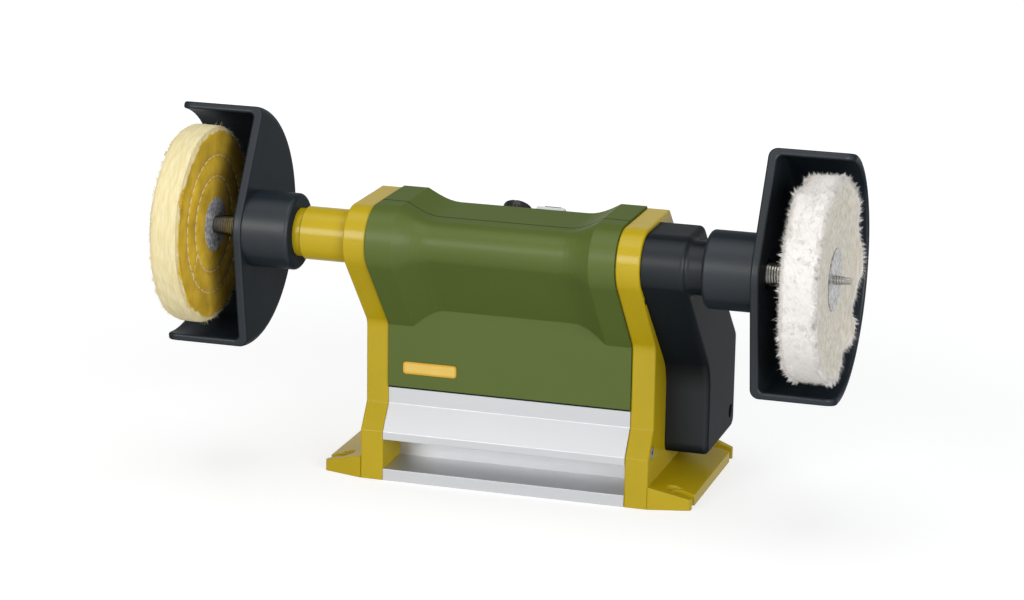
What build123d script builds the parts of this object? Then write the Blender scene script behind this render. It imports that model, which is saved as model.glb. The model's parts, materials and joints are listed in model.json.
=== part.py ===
from build123d import *
import math
import os

# A bench polishing machine with two buffing wheels, in millimetres.
# X runs to the right along the spindle, Y to the back and Z up.
# The origin is the middle of the base, on the bench.

# Frame: two cast end brackets, seen from the side as a base, a neck and a bulb round the spindle
FRAME_SPAN = 126.0
BRACKET_THICKNESS = 12.0
BRACKET_WALL = 4.5
BRACKET_WEB = 4.0
BASE_DEPTH = 103.0
BASE_SIDE_HEIGHT = 25.5
NECK_DEPTH = 85.0
NECK_START_HEIGHT = 38.4
NECK_ROUND = 8.0
SPINDLE_OVERHANG = 62.5
SPINDLE_HEIGHT = 128.3
BULB_RADIUS = 16.9
FRONT_SLOPE_DEG = 48.6
REAR_SLOPE_DEG = 43.5
TOP_DEPTH = 41.5
EDGE_ROUND = 1.0

# Feet of the brackets, with open slots for bench screws
FOOT_REACH = 20.7
FOOT_ROOT_HEIGHT = 11.5
FOOT_EDGE_HEIGHT = 5.5
FOOT_END_DEPTH = 92.0
FOOT_EDGE_ROUND = 1.5
SLOT_WIDTH = 5.5
SLOT_LENGTH = 11.5
SLOT_SPACING = 80.0
SLOT_SEAT_RADIUS = 5.0
SLOT_SEAT_DEPTH = 0.8

# Chassis: an aluminium extrusion with a tray in its front
CHASSIS_HEIGHT = 47.7
CHASSIS_WALL = 3.0
TRAY_FLOOR = 6.0
TRAY_CEILING = 21.5
TRAY_DEPTH = 26.5

# Hood: two plastic shells between the brackets, a little proud of them and waisted in the middle
HOOD_PROUD = 0.9
HOOD_WALL = 2.5
HOOD_BAND = 13.0
HOOD_TRANSITION = 17.0
HOOD_STEPS = 6
WAIST_DROP = 6.3
WAIST_REAR_DROP = 4.0
SEAM_OFFSET = 9.5
SEAM_GAP = 0.4
VENT_COUNT = 9
VENT_PITCH = 6.0
VENT_WIDTH = 2.5
VENT_HEIGHT = 18.0
VENT_RISE = 18.3
HOOD_BOSS_RADIUS = 4.0
HOOD_BOSS_LENGTH = 12.0
HOOD_SCREW_RADIUS = 1.5
FRONT_HOOD_SCREW_ALONG = 12.0
REAR_HOOD_SCREW_ALONG = 31.0

# Spindle: straight between its bearings, with a tapered thread at each end
SPINDLE_RADIUS = 6.0
SPINDLE_NOSE_RADIUS = 5.5
SPINDLE_TIP_RADIUS = 1.5
TAPER_OFFSET = 4.5
TAPER_LENGTH = 40.5
TIP_ROUND = 0.8
FIT = 0.02
RUNNING_FIT = 0.05

# Spindle tube on the left and the like-sized neck of the belt cover on the right
TUBE_RADIUS = 13.2
NECK_LENGTH = 7.9
SPIGOT_RADIUS = 12.0
SPIGOT_SHORT = 3.5
TUBE_BORE_RADIUS = 8.0
TUBE_ROOT_RADIUS = 11.0

# Ball bearings of the spindle, sealed, with their outer and inner rings
LEFT_BEARING_RADIUS = 10.5
LEFT_BEARING_WIDTH = 5.0
LEFT_BEARING_DEPTH = 1.5
RIGHT_BEARING_RADIUS = 14.0
RIGHT_BEARING_WIDTH = 8.0
BEARING_RING = 2.2
BEARING_SEAL_GAP = 0.4
BEARING_ROUND = 0.5
CLIP_THICKNESS = 1.0
CLIP_RADIUS = 8.2
CLIP_GROOVE = 0.5
CLIP_OPENING_DEG = 50.0

# Belt drive: ribbed belt from the motor, low at the back, up to the spindle
BELT_OFFSET = 9.5
BELT_BACK = 1.3
RIB_COUNT = 3
RIB_PITCH = 2.6
RIB_HEIGHT = 1.3
RIB_BASE = 0.9
RIB_TIP = 0.3
GROOVE_DEPTH = 1.6
GROOVE_TOP = 1.2
GROOVE_BOTTOM = 0.5
BELT_GAP = 0.3
SPINDLE_PULLEY_RADIUS = 9.5
MOTOR_PULLEY_RADIUS = 5.7
FLANGE_HEIGHT = 1.8
FLANGE_WIDTH = 1.2
HUB_RADIUS = 8.0

# Belt cover: plastic, on the right bracket's outer face
COVER_DEPTH = 22.0
COVER_WALL = 2.0
COVER_FACE = 2.5
COVER_BULB_RADIUS = 15.0
COVER_MOTOR_RADIUS = 12.3
COVER_FRONT_REACH = 33.0
COVER_REAR_INSET = 2.7
COVER_DROP = 28.5
COVER_TOP_DEPTH = 25.0
COVER_CORNER = 6.0
COVER_BLEND = 25.0
NECK_ROOT = 3.0
COVER_EDGE = 3.0
COVER_BOSS_RADIUS = 5.2
COVER_SCREW_RADIUS = 1.5
COVER_SCREW_HEAD = 2.8
COVER_RECESS_RADIUS = 3.6
COVER_RECESS_DEPTH = 8.0
UPPER_COVER_SCREW = (24.5, 0.7)
LOWER_COVER_SCREW = (10.0, 10.5)

# Wheel guards: half-round plastic hoods that swivel on the spindle tube and the cover's neck
GUARD_GAP = 6.4
GUARD_WALL = 3.6
GUARD_PLATE = 4.5
GUARD_TILT_DEG = 11.5
GUARD_NOSE_RADIUS = 20.4
GUARD_DEPTH = 41.5
GUARD_EDGE = 4.4
GUARD_ROUND = 1.2
GUARD_ROOT = 2.5
GUARD_CORNER = 6.0
GUARD_BOSS_RADIUS = 19.1
GUARD_BOSS_LENGTH = 24.1
GUARD_STANDOFF = 0.5
LEFT_GUARD_STANDOFF = 3.9
LEFT_GUARD_SHIFT = 2.6
GUARD_BOSS_ROUND = 2.2
GUARD_HOLE_RADIUS = 7.5
GUARD_SCREW_RADIUS = 2.0

# Buffing wheels and the discs at their centres
WHEEL_RADIUS = 50.0
WHEEL_THICKNESS = 15.0
LEFT_WHEEL_GAP = 17.3
RIGHT_WHEEL_GAP = 16.8
STITCH_RADII = (24.0, 34.5, 42.0)
STITCH_WIDTH = 2.4
STITCH_DEPTH = 0.7
RIM_ROUND = 2.0
FLUFF_RIM_ROUND = 4.0
DISC_THICKNESS = 1.2
LEFT_DISC_RADIUS = 13.5
RIGHT_DISC_RADIUS = 15.0
DISC_SINK = 0.6
TAPER_FIT = 0.1

# Motor, screwed to the right bracket
MOTOR_RADIUS = 24.0
MOTOR_LENGTH = 94.0
MOTOR_WALL_GAP = 1.5
MOTOR_FLOOR_GAP = 21.0
CAN_WALL = 1.6
END_BELL = 4.0
BRUSH_CAP = 8.0
MAGNET_THICKNESS = 4.0
MAGNET_ARC_DEG = 140.0
MAGNET_OVERHANG = 3.5
ARMATURE_RADIUS = 17.5
ARMATURE_SLOTS = 8
ARMATURE_SLOT_WIDTH = 2.6
ARMATURE_SLOT_DEPTH = 6.0
COMMUTATOR_RADIUS = 9.0
COMMUTATOR_LENGTH = 12.0
COMMUTATOR_GAP = 4.2
WINDING_RADIUS = 15.0
WINDING_REACH = 8.0
WINDING_ROUND = 2.0
BRUSH_LENGTH = 8.0
BRUSH_WIDTH = 4.0
BRUSH_GAP = 0.3
MOTOR_SHAFT_RADIUS = 3.0
MOTOR_BUSH_RADIUS = 6.0
MOTOR_BOSS_RADIUS = 9.5
MOTOR_BOSS_LENGTH = 4.0
MOTOR_SCREW_PITCH = 15.0
MOTOR_SCREW_RADIUS = 2.0
AIR_GAP = 0.6

# Screws in the frame
FRAME_SCREW_ALONG = 5.9
FRAME_SCREW_RADIUS = 2.0
FRAME_SCREW_LENGTH = 14.0
SCREW_HEAD_RADIUS = 3.2
SCREW_HEAD_HEIGHT = 2.6
SCREW_CLEARANCE = 0.2
SCREW_PORT_RADIUS = 3.8
SOCKET_WIDTH = 2.5
SOCKET_DEPTH = 1.4

# Controls on the rear slope of the hood
KNOB_X = -8.0
KNOB_DOWN = 14.0
KNOB_RADIUS = 7.8
KNOB_HEIGHT = 7.6
KNOB_ROUND = 1.2
KNOB_FLUTES = 30
KNOB_FLUTE_RADIUS = 0.5
KNOB_GAP = 0.6
POT_RADIUS = 8.5
POT_DEPTH = 9.0
POT_BUSH_RADIUS = 3.5
POT_BUSH_RISE = 3.0
POT_SHAFT_RADIUS = 2.0
POT_SHAFT_RISE = 5.5
POT_NUT_WIDTH = 10.0
POT_NUT_HEIGHT = 2.0
SWITCH_X = 13.0
SWITCH_DOWN = 11.8
SWITCH_WIDTH = 15.0
SWITCH_LENGTH = 21.0
SWITCH_RIM = 2.0
SWITCH_RISE = 2.6
SWITCH_BODY_DEPTH = 14.0
SWITCH_CAVITY_DEPTH = 7.0
SWITCH_SIDE = 1.6
SWITCH_END = 1.6
ROCKER_TILT_DEG = 8.0
ROCKER_PIVOT_DEPTH = 1.5
ROCKER_HALF_LENGTH = 8.0
ROCKER_SIDE_GAP = 0.4
ROCKER_PIN_RADIUS = 1.2
BOARD_LENGTH = 52.0
BOARD_HEIGHT = 34.0
BOARD_THICKNESS = 1.6
BOARD_RIGHT_X = 3.0
SINK_HEIGHT = 12.0
SINK_GAP = 2.5
CAPACITOR_RADIUS = 5.0
GLAND_X = -47.0
GLAND_RISE = 16.3
GLAND_RADIUS = 6.0
GLAND_FLANGE_RADIUS = 8.5
GLAND_BORE_RADIUS = 3.2
GLAND_LENGTH = 12.0
GLAND_FLANGE = 2.5

# Places worked out from the sizes above
SPINDLE_Y = -SPINDLE_OVERHANG
SPINDLE_Z = SPINDLE_HEIGHT
INNER_X = FRAME_SPAN / 2
OUTER_X = INNER_X + BRACKET_THICKNESS
FOOT_X = OUTER_X + FOOT_REACH
NECK_HALF = NECK_DEPTH / 2
BASE_HALF = BASE_DEPTH / 2
TOP_Z = SPINDLE_Z + BULB_RADIUS
TOP_REAR_Y = SPINDLE_Y + TOP_DEPTH
TRAY_BACK_Y = TRAY_DEPTH - BASE_HALF
HOOD_HALF = NECK_HALF + HOOD_PROUD
BAND_X = INNER_X - HOOD_BAND
WAIST_X = BAND_X - HOOD_TRANSITION
SEAM_Y = SPINDLE_Y + SEAM_OFFSET
VENT_Z = CHASSIS_HEIGHT + VENT_RISE
GLAND_Z = CHASSIS_HEIGHT + GLAND_RISE
MOTOR_Y = NECK_HALF - CHASSIS_WALL - MOTOR_WALL_GAP - MOTOR_RADIUS
MOTOR_Z = CHASSIS_WALL + MOTOR_FLOOR_GAP + MOTOR_RADIUS
MOTOR_REAR_X = INNER_X - MOTOR_LENGTH
ARMATURE_END_X = INNER_X - END_BELL - 2 * AIR_GAP - WINDING_REACH
ARMATURE_START_X = MOTOR_REAR_X + BRUSH_CAP + AIR_GAP + COMMUTATOR_LENGTH + COMMUTATOR_GAP + WINDING_REACH
BELT_X = OUTER_X + BELT_OFFSET
BELT_RUN_DEG = math.degrees(math.atan2(MOTOR_Z - SPINDLE_Z, MOTOR_Y - SPINDLE_Y))
BELT_SPAN = math.hypot(MOTOR_Z - SPINDLE_Z, MOTOR_Y - SPINDLE_Y)
RIB_WIDTH = RIB_COUNT * RIB_PITCH
PULLEY_START_X = BELT_X - RIB_WIDTH / 2 - FLANGE_WIDTH
PULLEY_END_X = BELT_X + RIB_WIDTH / 2 + FLANGE_WIDTH
COVER_X = OUTER_X + COVER_DEPTH
COVER_FRONT_Y = MOTOR_Y - COVER_FRONT_REACH
COVER_REAR_Y = NECK_HALF - COVER_REAR_INSET
COVER_BOTTOM = MOTOR_Z - COVER_DROP
COVER_SCREWS = (
    (SPINDLE_Y + UPPER_COVER_SCREW[0], SPINDLE_Z + UPPER_COVER_SCREW[1]),
    (COVER_REAR_Y - LOWER_COVER_SCREW[0], COVER_BOTTOM + LOWER_COVER_SCREW[1]),
)
COVER_TOP_REAR_Y = SPINDLE_Y + COVER_TOP_DEPTH
TUBE_SHOULDER_X = COVER_X + NECK_LENGTH
GUARD_BOSS_X = TUBE_SHOULDER_X + GUARD_STANDOFF
GUARD_PLATE_X = GUARD_BOSS_X + GUARD_BOSS_LENGTH
GUARD_RADIUS = WHEEL_RADIUS + GUARD_GAP + GUARD_WALL
SPIGOT_END_X = GUARD_PLATE_X - SPIGOT_SHORT
LEFT_SHOULDER_X = GUARD_BOSS_X - LEFT_GUARD_SHIFT - LEFT_GUARD_STANDOFF
LEFT_SPIGOT_END_X = SPIGOT_END_X - LEFT_GUARD_SHIFT
LEFT_BEARING_X = LEFT_SPIGOT_END_X - LEFT_BEARING_DEPTH
TAPER_START_X = GUARD_PLATE_X + TAPER_OFFSET
TAPER_END_X = TAPER_START_X + TAPER_LENGTH
LEFT_WHEEL_X = GUARD_PLATE_X - LEFT_GUARD_SHIFT + GUARD_PLATE + LEFT_WHEEL_GAP
RIGHT_WHEEL_X = GUARD_PLATE_X + GUARD_PLATE + RIGHT_WHEEL_GAP
ON_BASE = (Align.CENTER, Align.CENTER, Align.MIN)
HANGING = (Align.CENTER, Align.CENTER, Align.MAX)


def direction(degrees):
    return Vector(math.cos(math.radians(degrees)), math.sin(math.radians(degrees)))


def prism(side_view, x_from, x_to):
    """A side view, drawn with Y across and Z up, as a solid from one X to another."""
    return extrude(Plane.YZ.offset(x_from) * side_view, amount=x_to - x_from)


def turned(points, y=SPINDLE_Y, z=SPINDLE_Z):
    """A turned piece on an axis along X, from its outline as points of X and radius."""
    section = Plane((0, y, z), x_dir=(1, 0, 0), z_dir=(0, -1, 0)) * make_face(Polyline(*points, close=True))
    return revolve(section, Axis((0, y, z), (1, 0, 0)))


def ring(x_from, x_to, outer, inner, y=SPINDLE_Y, z=SPINDLE_Z):
    return turned([(x_from, inner), (x_from, outer), (x_to, outer), (x_to, inner)], y, z)


def rod(x_from, x_to, radius, y=SPINDLE_Y, z=SPINDLE_Z):
    return prism(Pos(y, z) * Circle(radius), x_from, x_to)


def left_of(piece):
    """The piece's mirror image on the other end of the machine."""
    return mirror(piece, about=Plane.YZ)


def hood_corners(radius, half_depth, rear_drop):
    """Corners of the side view above the neck, from the front slope's foot to the rear slope's foot."""
    centre = Vector(SPINDLE_Y, SPINDLE_Z)
    front_normal = -direction(90 - FRONT_SLOPE_DEG)
    middle_normal = direction(180 - FRONT_SLOPE_DEG / 2)
    rear_normal = direction(90 - REAR_SLOPE_DEG)
    rear_line = Vector(TOP_REAR_Y, TOP_Z) - rear_normal * rear_drop
    top = SPINDLE_Z + radius
    foot_z = SPINDLE_Z + (radius - front_normal.X * (-half_depth - SPINDLE_Y)) / front_normal.Y
    corner_y = rear_line.X - (top - rear_line.Y) * rear_normal.Y / rear_normal.X
    rear_z = rear_line.Y - (half_depth - rear_line.X) * rear_normal.X / rear_normal.Y
    return (
        Vector(-half_depth, foot_z),
        centre + front_normal * radius,
        centre + middle_normal * radius,
        Vector(SPINDLE_Y, top),
        Vector(corner_y, top),
        Vector(half_depth, rear_z),
    )


def hood_outline(radius, half_depth, rear_drop, bottom):
    foot, bulb_start, bulb_middle, bulb_end, rear_corner, rear_foot = hood_corners(
        radius, half_depth, rear_drop
    )
    front_bottom = Vector(-half_depth, bottom)
    rear_bottom = Vector(half_depth, bottom)
    return make_face(
        [
            Line(front_bottom, foot),
            Line(foot, bulb_start),
            ThreePointArc(bulb_start, bulb_middle, bulb_end),
            Line(bulb_end, rear_corner),
            Line(rear_corner, rear_foot),
            Line(rear_foot, rear_bottom),
            Line(rear_bottom, front_bottom),
        ]
    )


def base_outline(top):
    """Side view of the base, flared towards the bench, which brackets and chassis share."""
    return make_face(
        Polyline(
            (-BASE_HALF, 0),
            (-BASE_HALF, BASE_SIDE_HEIGHT),
            (-NECK_HALF, NECK_START_HEIGHT),
            (-NECK_HALF, top),
            (NECK_HALF, top),
            (NECK_HALF, NECK_START_HEIGHT),
            (BASE_HALF, BASE_SIDE_HEIGHT),
            (BASE_HALF, 0),
            close=True,
        )
    )


def screw(x_head, x_end, y, z, radius, head_radius=SCREW_HEAD_RADIUS):
    """A cap screw along X: x_head is the outer face of its head and x_end its tip."""
    way = 1 if x_end > x_head else -1
    under_head = x_head + way * SCREW_HEAD_HEIGHT
    shank = rod(min(under_head, x_end), max(under_head, x_end), radius, y, z)
    head = rod(min(x_head, under_head), max(x_head, under_head), head_radius, y, z)
    socket_end = x_head + way * SOCKET_DEPTH
    socket = Pos(y, z) * RegularPolygon(SOCKET_WIDTH / 2, 6, major_radius=False)
    return head + shank - prism(socket, min(x_head, socket_end), max(x_head, socket_end))


def screw_hole(x_face, x_end, y, z, radius, head_radius=SCREW_HEAD_RADIUS):
    """Room for such a screw whose head lies flush with the face at x_face."""
    way = 1 if x_end > x_face else -1
    under_head = x_face + way * SCREW_HEAD_HEIGHT
    sink = rod(min(x_face, under_head), max(x_face, under_head), head_radius + SCREW_CLEARANCE, y, z)
    return sink + rod(min(x_face, x_end), max(x_face, x_end), radius + SCREW_CLEARANCE, y, z)


def frame_screw_places():
    """Screw places at the front and the back, a port's depth inside the base's slanted skin."""
    corner = Vector(BASE_HALF, BASE_SIDE_HEIGHT)
    along = (Vector(NECK_HALF, NECK_START_HEIGHT) - corner).normalized()
    inwards = Vector(-along.Y, along.X)
    rear = corner + along * FRAME_SCREW_ALONG + inwards * (CHASSIS_WALL + SCREW_PORT_RADIUS * 0.75)
    return Vector(-rear.X, rear.Y), rear


def hood_screw_places():
    """Screw places for the front and the rear shell, a boss radius inside their slopes."""
    foot, bulb_start, _, _, rear_corner, rear_foot = hood_corners(
        BULB_RADIUS + HOOD_PROUD, HOOD_HALF, -HOOD_PROUD
    )
    inside = HOOD_WALL + HOOD_BOSS_RADIUS * 0.8
    down_front = (foot - bulb_start).normalized()
    down_rear = (rear_foot - rear_corner).normalized()
    front = bulb_start + down_front * FRONT_HOOD_SCREW_ALONG + direction(90 - FRONT_SLOPE_DEG) * inside
    rear = rear_corner + down_rear * REAR_HOOD_SCREW_ALONG - direction(90 - REAR_SLOPE_DEG) * inside
    return front, rear


def motor_screw_places():
    across = direction(BELT_RUN_DEG + 90) * MOTOR_SCREW_PITCH
    motor = Vector(MOTOR_Y, MOTOR_Z)
    return motor + across, motor - across


def foot():
    """The right bracket's foot: a wedge that narrows outwards, with two open slots."""
    wedge = Plane.XZ.offset(-BASE_HALF) * make_face(
        Polyline(
            (OUTER_X, 0),
            (FOOT_X, 0),
            (FOOT_X, FOOT_EDGE_HEIGHT),
            (OUTER_X, FOOT_ROOT_HEIGHT),
            close=True,
        )
    )
    plan = make_face(
        Polyline(
            (OUTER_X, -BASE_HALF),
            (FOOT_X, -FOOT_END_DEPTH / 2),
            (FOOT_X, FOOT_END_DEPTH / 2),
            (OUTER_X, BASE_HALF),
            close=True,
        )
    )
    body = extrude(wedge, amount=BASE_DEPTH) & extrude(plan, amount=FOOT_ROOT_HEIGHT)
    body = fillet(body.edges().filter_by(Axis.Z).sort_by(Axis.X)[-2:], FOOT_EDGE_ROUND)
    slot_end = FOOT_X - SLOT_LENGTH + SLOT_WIDTH / 2
    seat_z = FOOT_EDGE_HEIGHT + (FOOT_X - slot_end) / FOOT_REACH * (FOOT_ROOT_HEIGHT - FOOT_EDGE_HEIGHT)
    for y in (-SLOT_SPACING / 2, SLOT_SPACING / 2):
        slot = Pos(slot_end, y) * Circle(SLOT_WIDTH / 2)
        slot += Pos(slot_end + SLOT_LENGTH / 2, y) * Rectangle(SLOT_LENGTH, SLOT_WIDTH)
        body -= extrude(slot, amount=FOOT_ROOT_HEIGHT)
        seat = Pos(slot_end, y, seat_z - SLOT_SEAT_DEPTH) * Cylinder(
            SLOT_SEAT_RADIUS, FOOT_ROOT_HEIGHT, align=ON_BASE
        )
        body -= seat
    return body


def cast_bracket():
    """What both end brackets share, drawn on the right: outline, hollow inner side, foot and screw holes."""
    corners = hood_corners(BULB_RADIUS, NECK_HALF, 0)
    outline = base_outline(CHASSIS_HEIGHT) + hood_outline(BULB_RADIUS, NECK_HALF, 0, CHASSIS_HEIGHT)
    for corner in (corners[0], corners[5]):
        outline = fillet(outline.vertices().sort_by_distance((corner.X, corner.Y, 0))[0], NECK_ROUND)
    plate = prism(outline, INNER_X, OUTER_X)
    rims = plate.faces().sort_by(Axis.X)[-1].edges() + plate.faces().sort_by(Axis.X)[0].edges()
    plate = fillet([edge for edge in rims if edge.center().Z > EDGE_ROUND], EDGE_ROUND)
    hollow = hood_outline(
        BULB_RADIUS - BRACKET_WALL, NECK_HALF - BRACKET_WALL, BRACKET_WALL, CHASSIS_HEIGHT + BRACKET_WALL
    )
    hollow -= Pos(SPINDLE_Y, SPINDLE_Z) * Circle(BULB_RADIUS)
    hollow -= Pos(MOTOR_Y, MOTOR_Z) * Circle(MOTOR_RADIUS + BRACKET_WALL)
    for place in hood_screw_places():
        hollow -= Pos(place.X, place.Y) * Circle(HOOD_BOSS_RADIUS)
    bracket = plate - prism(hollow, INNER_X, OUTER_X - BRACKET_WEB) + foot()
    for place in frame_screw_places():
        bracket -= screw_hole(OUTER_X, INNER_X, place.X, place.Y, FRAME_SCREW_RADIUS)
    for place in hood_screw_places():
        bracket -= screw_hole(OUTER_X, INNER_X, place.X, place.Y, HOOD_SCREW_RADIUS)
    return bracket


def right_bracket():
    bracket = cast_bracket()
    bracket -= rod(INNER_X, INNER_X + RIGHT_BEARING_WIDTH, RIGHT_BEARING_RADIUS + FIT)
    bracket -= rod(INNER_X, OUTER_X, HUB_RADIUS + BRACKET_WALL / 2)
    bracket -= rod(INNER_X, OUTER_X, MOTOR_BOSS_RADIUS + RUNNING_FIT, MOTOR_Y, MOTOR_Z)
    for place in motor_screw_places():
        bracket -= screw_hole(OUTER_X, INNER_X, place.X, place.Y, MOTOR_SCREW_RADIUS)
    for y, z in COVER_SCREWS:
        bracket -= rod(INNER_X, OUTER_X, COVER_SCREW_RADIUS + RUNNING_FIT, y, z)
    return bracket


def left_bracket():
    return left_of(cast_bracket()) - rod(-OUTER_X, -INNER_X, TUBE_ROOT_RADIUS + FIT)


def chassis():
    """Extruded section: motor bay at the back, boxed front visor and the tray under it."""
    outline = base_outline(CHASSIS_HEIGHT)
    bay_y = TRAY_BACK_Y + CHASSIS_WALL
    inside = offset(outline, amount=-CHASSIS_WALL, kind=Kind.INTERSECTION)
    behind = Pos(bay_y, 0) * Rectangle(BASE_DEPTH, CHASSIS_HEIGHT, align=Align.MIN)
    bay = inside & behind
    bay += Pos(bay_y, NECK_START_HEIGHT) * Rectangle(
        NECK_HALF - CHASSIS_WALL - bay_y, CHASSIS_HEIGHT, align=Align.MIN
    )
    tray = Pos(-BASE_DEPTH, TRAY_FLOOR) * Rectangle(
        BASE_DEPTH + TRAY_BACK_Y, TRAY_CEILING - TRAY_FLOOR, align=Align.MIN
    )
    visor_room = Pos(-BASE_DEPTH, TRAY_CEILING + CHASSIS_WALL) * Rectangle(
        BASE_DEPTH + TRAY_BACK_Y, CHASSIS_HEIGHT, align=Align.MIN
    )
    section = outline - bay - tray - (inside & visor_room)
    for place in frame_screw_places():
        section += Pos(place.X, place.Y) * Circle(SCREW_PORT_RADIUS)
        section -= Pos(place.X, place.Y) * Circle(FRAME_SCREW_RADIUS + FIT)
    return prism(section, -INNER_X, INNER_X)


def hood_solid(wall, bottom):
    """The hood as a block, or with wall above nothing the room inside it."""

    def section(drop_share):
        radius = BULB_RADIUS + HOOD_PROUD - wall - WAIST_DROP * drop_share
        rear_drop = wall - HOOD_PROUD + WAIST_REAR_DROP * drop_share
        return hood_outline(radius, HOOD_HALF - wall, rear_drop, bottom)

    def transition(x_from, way):
        faces = []
        for step in range(HOOD_STEPS + 1):
            share = step / HOOD_STEPS
            drop_share = math.sin(math.radians(90) * share)
            faces.append(Plane.YZ.offset(x_from + way * HOOD_TRANSITION * share) * section(drop_share))
        return loft(faces, ruled=True)

    return (
        prism(section(0), -INNER_X, -BAND_X)
        + transition(-BAND_X, 1)
        + prism(section(1), -WAIST_X, WAIST_X)
        + transition(BAND_X, -1)
        + prism(section(0), BAND_X, INNER_X)
    )


def hood_shell():
    return hood_solid(0, CHASSIS_HEIGHT) - hood_solid(HOOD_WALL, CHASSIS_HEIGHT - HOOD_WALL)


def ahead_of_seam(gap):
    """The space in front of the seam, which runs along the hood's top and leaves its front wall ahead."""
    room = make_face(
        Polyline(
            (SEAM_Y - gap, TOP_Z + HOOD_WALL),
            (SEAM_Y - gap, SPINDLE_Z),
            (-gap, CHASSIS_HEIGHT - HOOD_WALL),
            (SPINDLE_Y - BASE_HALF, CHASSIS_HEIGHT - HOOD_WALL),
            (SPINDLE_Y - BASE_HALF, TOP_Z + HOOD_WALL),
            close=True,
        )
    )
    return prism(room, -INNER_X, INNER_X)


def hood_bosses(place):
    bosses = rod(INNER_X - HOOD_BOSS_LENGTH, INNER_X, HOOD_BOSS_RADIUS, place.X, place.Y)
    bosses -= rod(INNER_X - HOOD_BOSS_LENGTH, INNER_X, HOOD_SCREW_RADIUS + FIT, place.X, place.Y)
    return bosses + left_of(bosses)


def front_shell(shell):
    front = shell & ahead_of_seam(SEAM_GAP)
    return front + (hood_bosses(hood_screw_places()[0]) & hood_solid(HOOD_WALL / 2, CHASSIS_HEIGHT))


def panel(x, down):
    """The plane of the hood's rear slope in its waist, that far below the slope's upper edge."""
    corners = hood_corners(BULB_RADIUS + HOOD_PROUD - WAIST_DROP, HOOD_HALF, WAIST_REAR_DROP - HOOD_PROUD)
    place = corners[4] + (corners[5] - corners[4]).normalized() * down
    normal = direction(90 - REAR_SLOPE_DEG)
    return Plane((x, place.X, place.Y), x_dir=(1, 0, 0), z_dir=(0, normal.X, normal.Y))


def rear_shell(shell):
    rear = shell - ahead_of_seam(0)
    rear += hood_bosses(hood_screw_places()[1]) & hood_solid(HOOD_WALL / 2, CHASSIS_HEIGHT)
    first_vent = -VENT_PITCH * (VENT_COUNT - 1) / 2
    for number in range(VENT_COUNT):
        vent = SlotCenterToCenter(VENT_HEIGHT - VENT_WIDTH, VENT_WIDTH, rotation=90)
        place = Plane.XZ.offset(-HOOD_HALF) * Pos(first_vent + number * VENT_PITCH, VENT_Z)
        rear -= extrude(place * vent, amount=2 * HOOD_WALL)
    knob_place = panel(KNOB_X, KNOB_DOWN)
    rear -= knob_place * Cylinder(POT_BUSH_RADIUS + FIT, 4 * HOOD_WALL)
    switch_place = panel(SWITCH_X, SWITCH_DOWN)
    rear -= switch_place * Box(
        SWITCH_WIDTH - 2 * SWITCH_RIM + 2 * FIT, SWITCH_LENGTH - 2 * SWITCH_RIM + 2 * FIT, 4 * HOOD_WALL
    )
    rear -= Pos(GLAND_X, NECK_HALF, GLAND_Z) * Rot(90, 0, 0) * Cylinder(GLAND_RADIUS + FIT, 4 * HOOD_WALL)
    return rear


def left_spindle_tube():
    """Turned tube that carries the left bearing, rooted in the left bracket, with a spigot for the guard."""
    shoulder = BEARING_ROUND
    tube = turned(
        [
            (-INNER_X, TUBE_BORE_RADIUS),
            (-INNER_X, TUBE_ROOT_RADIUS),
            (-OUTER_X, TUBE_ROOT_RADIUS),
            (-OUTER_X, TUBE_RADIUS),
            (-LEFT_SHOULDER_X + shoulder, TUBE_RADIUS),
            (-LEFT_SHOULDER_X, TUBE_RADIUS - shoulder),
            (-LEFT_SHOULDER_X, SPIGOT_RADIUS),
            (-LEFT_SPIGOT_END_X, SPIGOT_RADIUS),
            (-LEFT_SPIGOT_END_X, LEFT_BEARING_RADIUS + FIT),
            (-LEFT_BEARING_X + LEFT_BEARING_WIDTH, LEFT_BEARING_RADIUS + FIT),
            (-LEFT_BEARING_X + LEFT_BEARING_WIDTH, TUBE_BORE_RADIUS),
        ]
    )
    return tube


def bearing_ring(x_from, width, outer, inner):
    """A bearing's ring with its outer corners broken."""
    c = BEARING_ROUND
    x_to = x_from + width
    return turned(
        [
            (x_from, inner),
            (x_from, outer - c),
            (x_from + c, outer),
            (x_to - c, outer),
            (x_to, outer - c),
            (x_to, inner),
        ]
    )


def bearing_outer_rings():
    inner = SPINDLE_RADIUS + BEARING_RING + BEARING_SEAL_GAP
    left = bearing_ring(-LEFT_BEARING_X, LEFT_BEARING_WIDTH, LEFT_BEARING_RADIUS, inner)
    right = bearing_ring(INNER_X, RIGHT_BEARING_WIDTH, RIGHT_BEARING_RADIUS, inner)
    return left + right


def bearing_inner_rings():
    outer = SPINDLE_RADIUS + BEARING_RING
    inner = SPINDLE_RADIUS + FIT
    left = bearing_ring(-LEFT_BEARING_X, LEFT_BEARING_WIDTH, outer, inner)
    right = bearing_ring(INNER_X, RIGHT_BEARING_WIDTH, outer, inner)
    return left + right


def clip_places():
    """Where each spring clip starts: outside the left bearing, inside the right one, outside the pulley."""
    return -LEFT_BEARING_X - CLIP_THICKNESS, INNER_X - CLIP_THICKNESS, PULLEY_END_X


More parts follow.
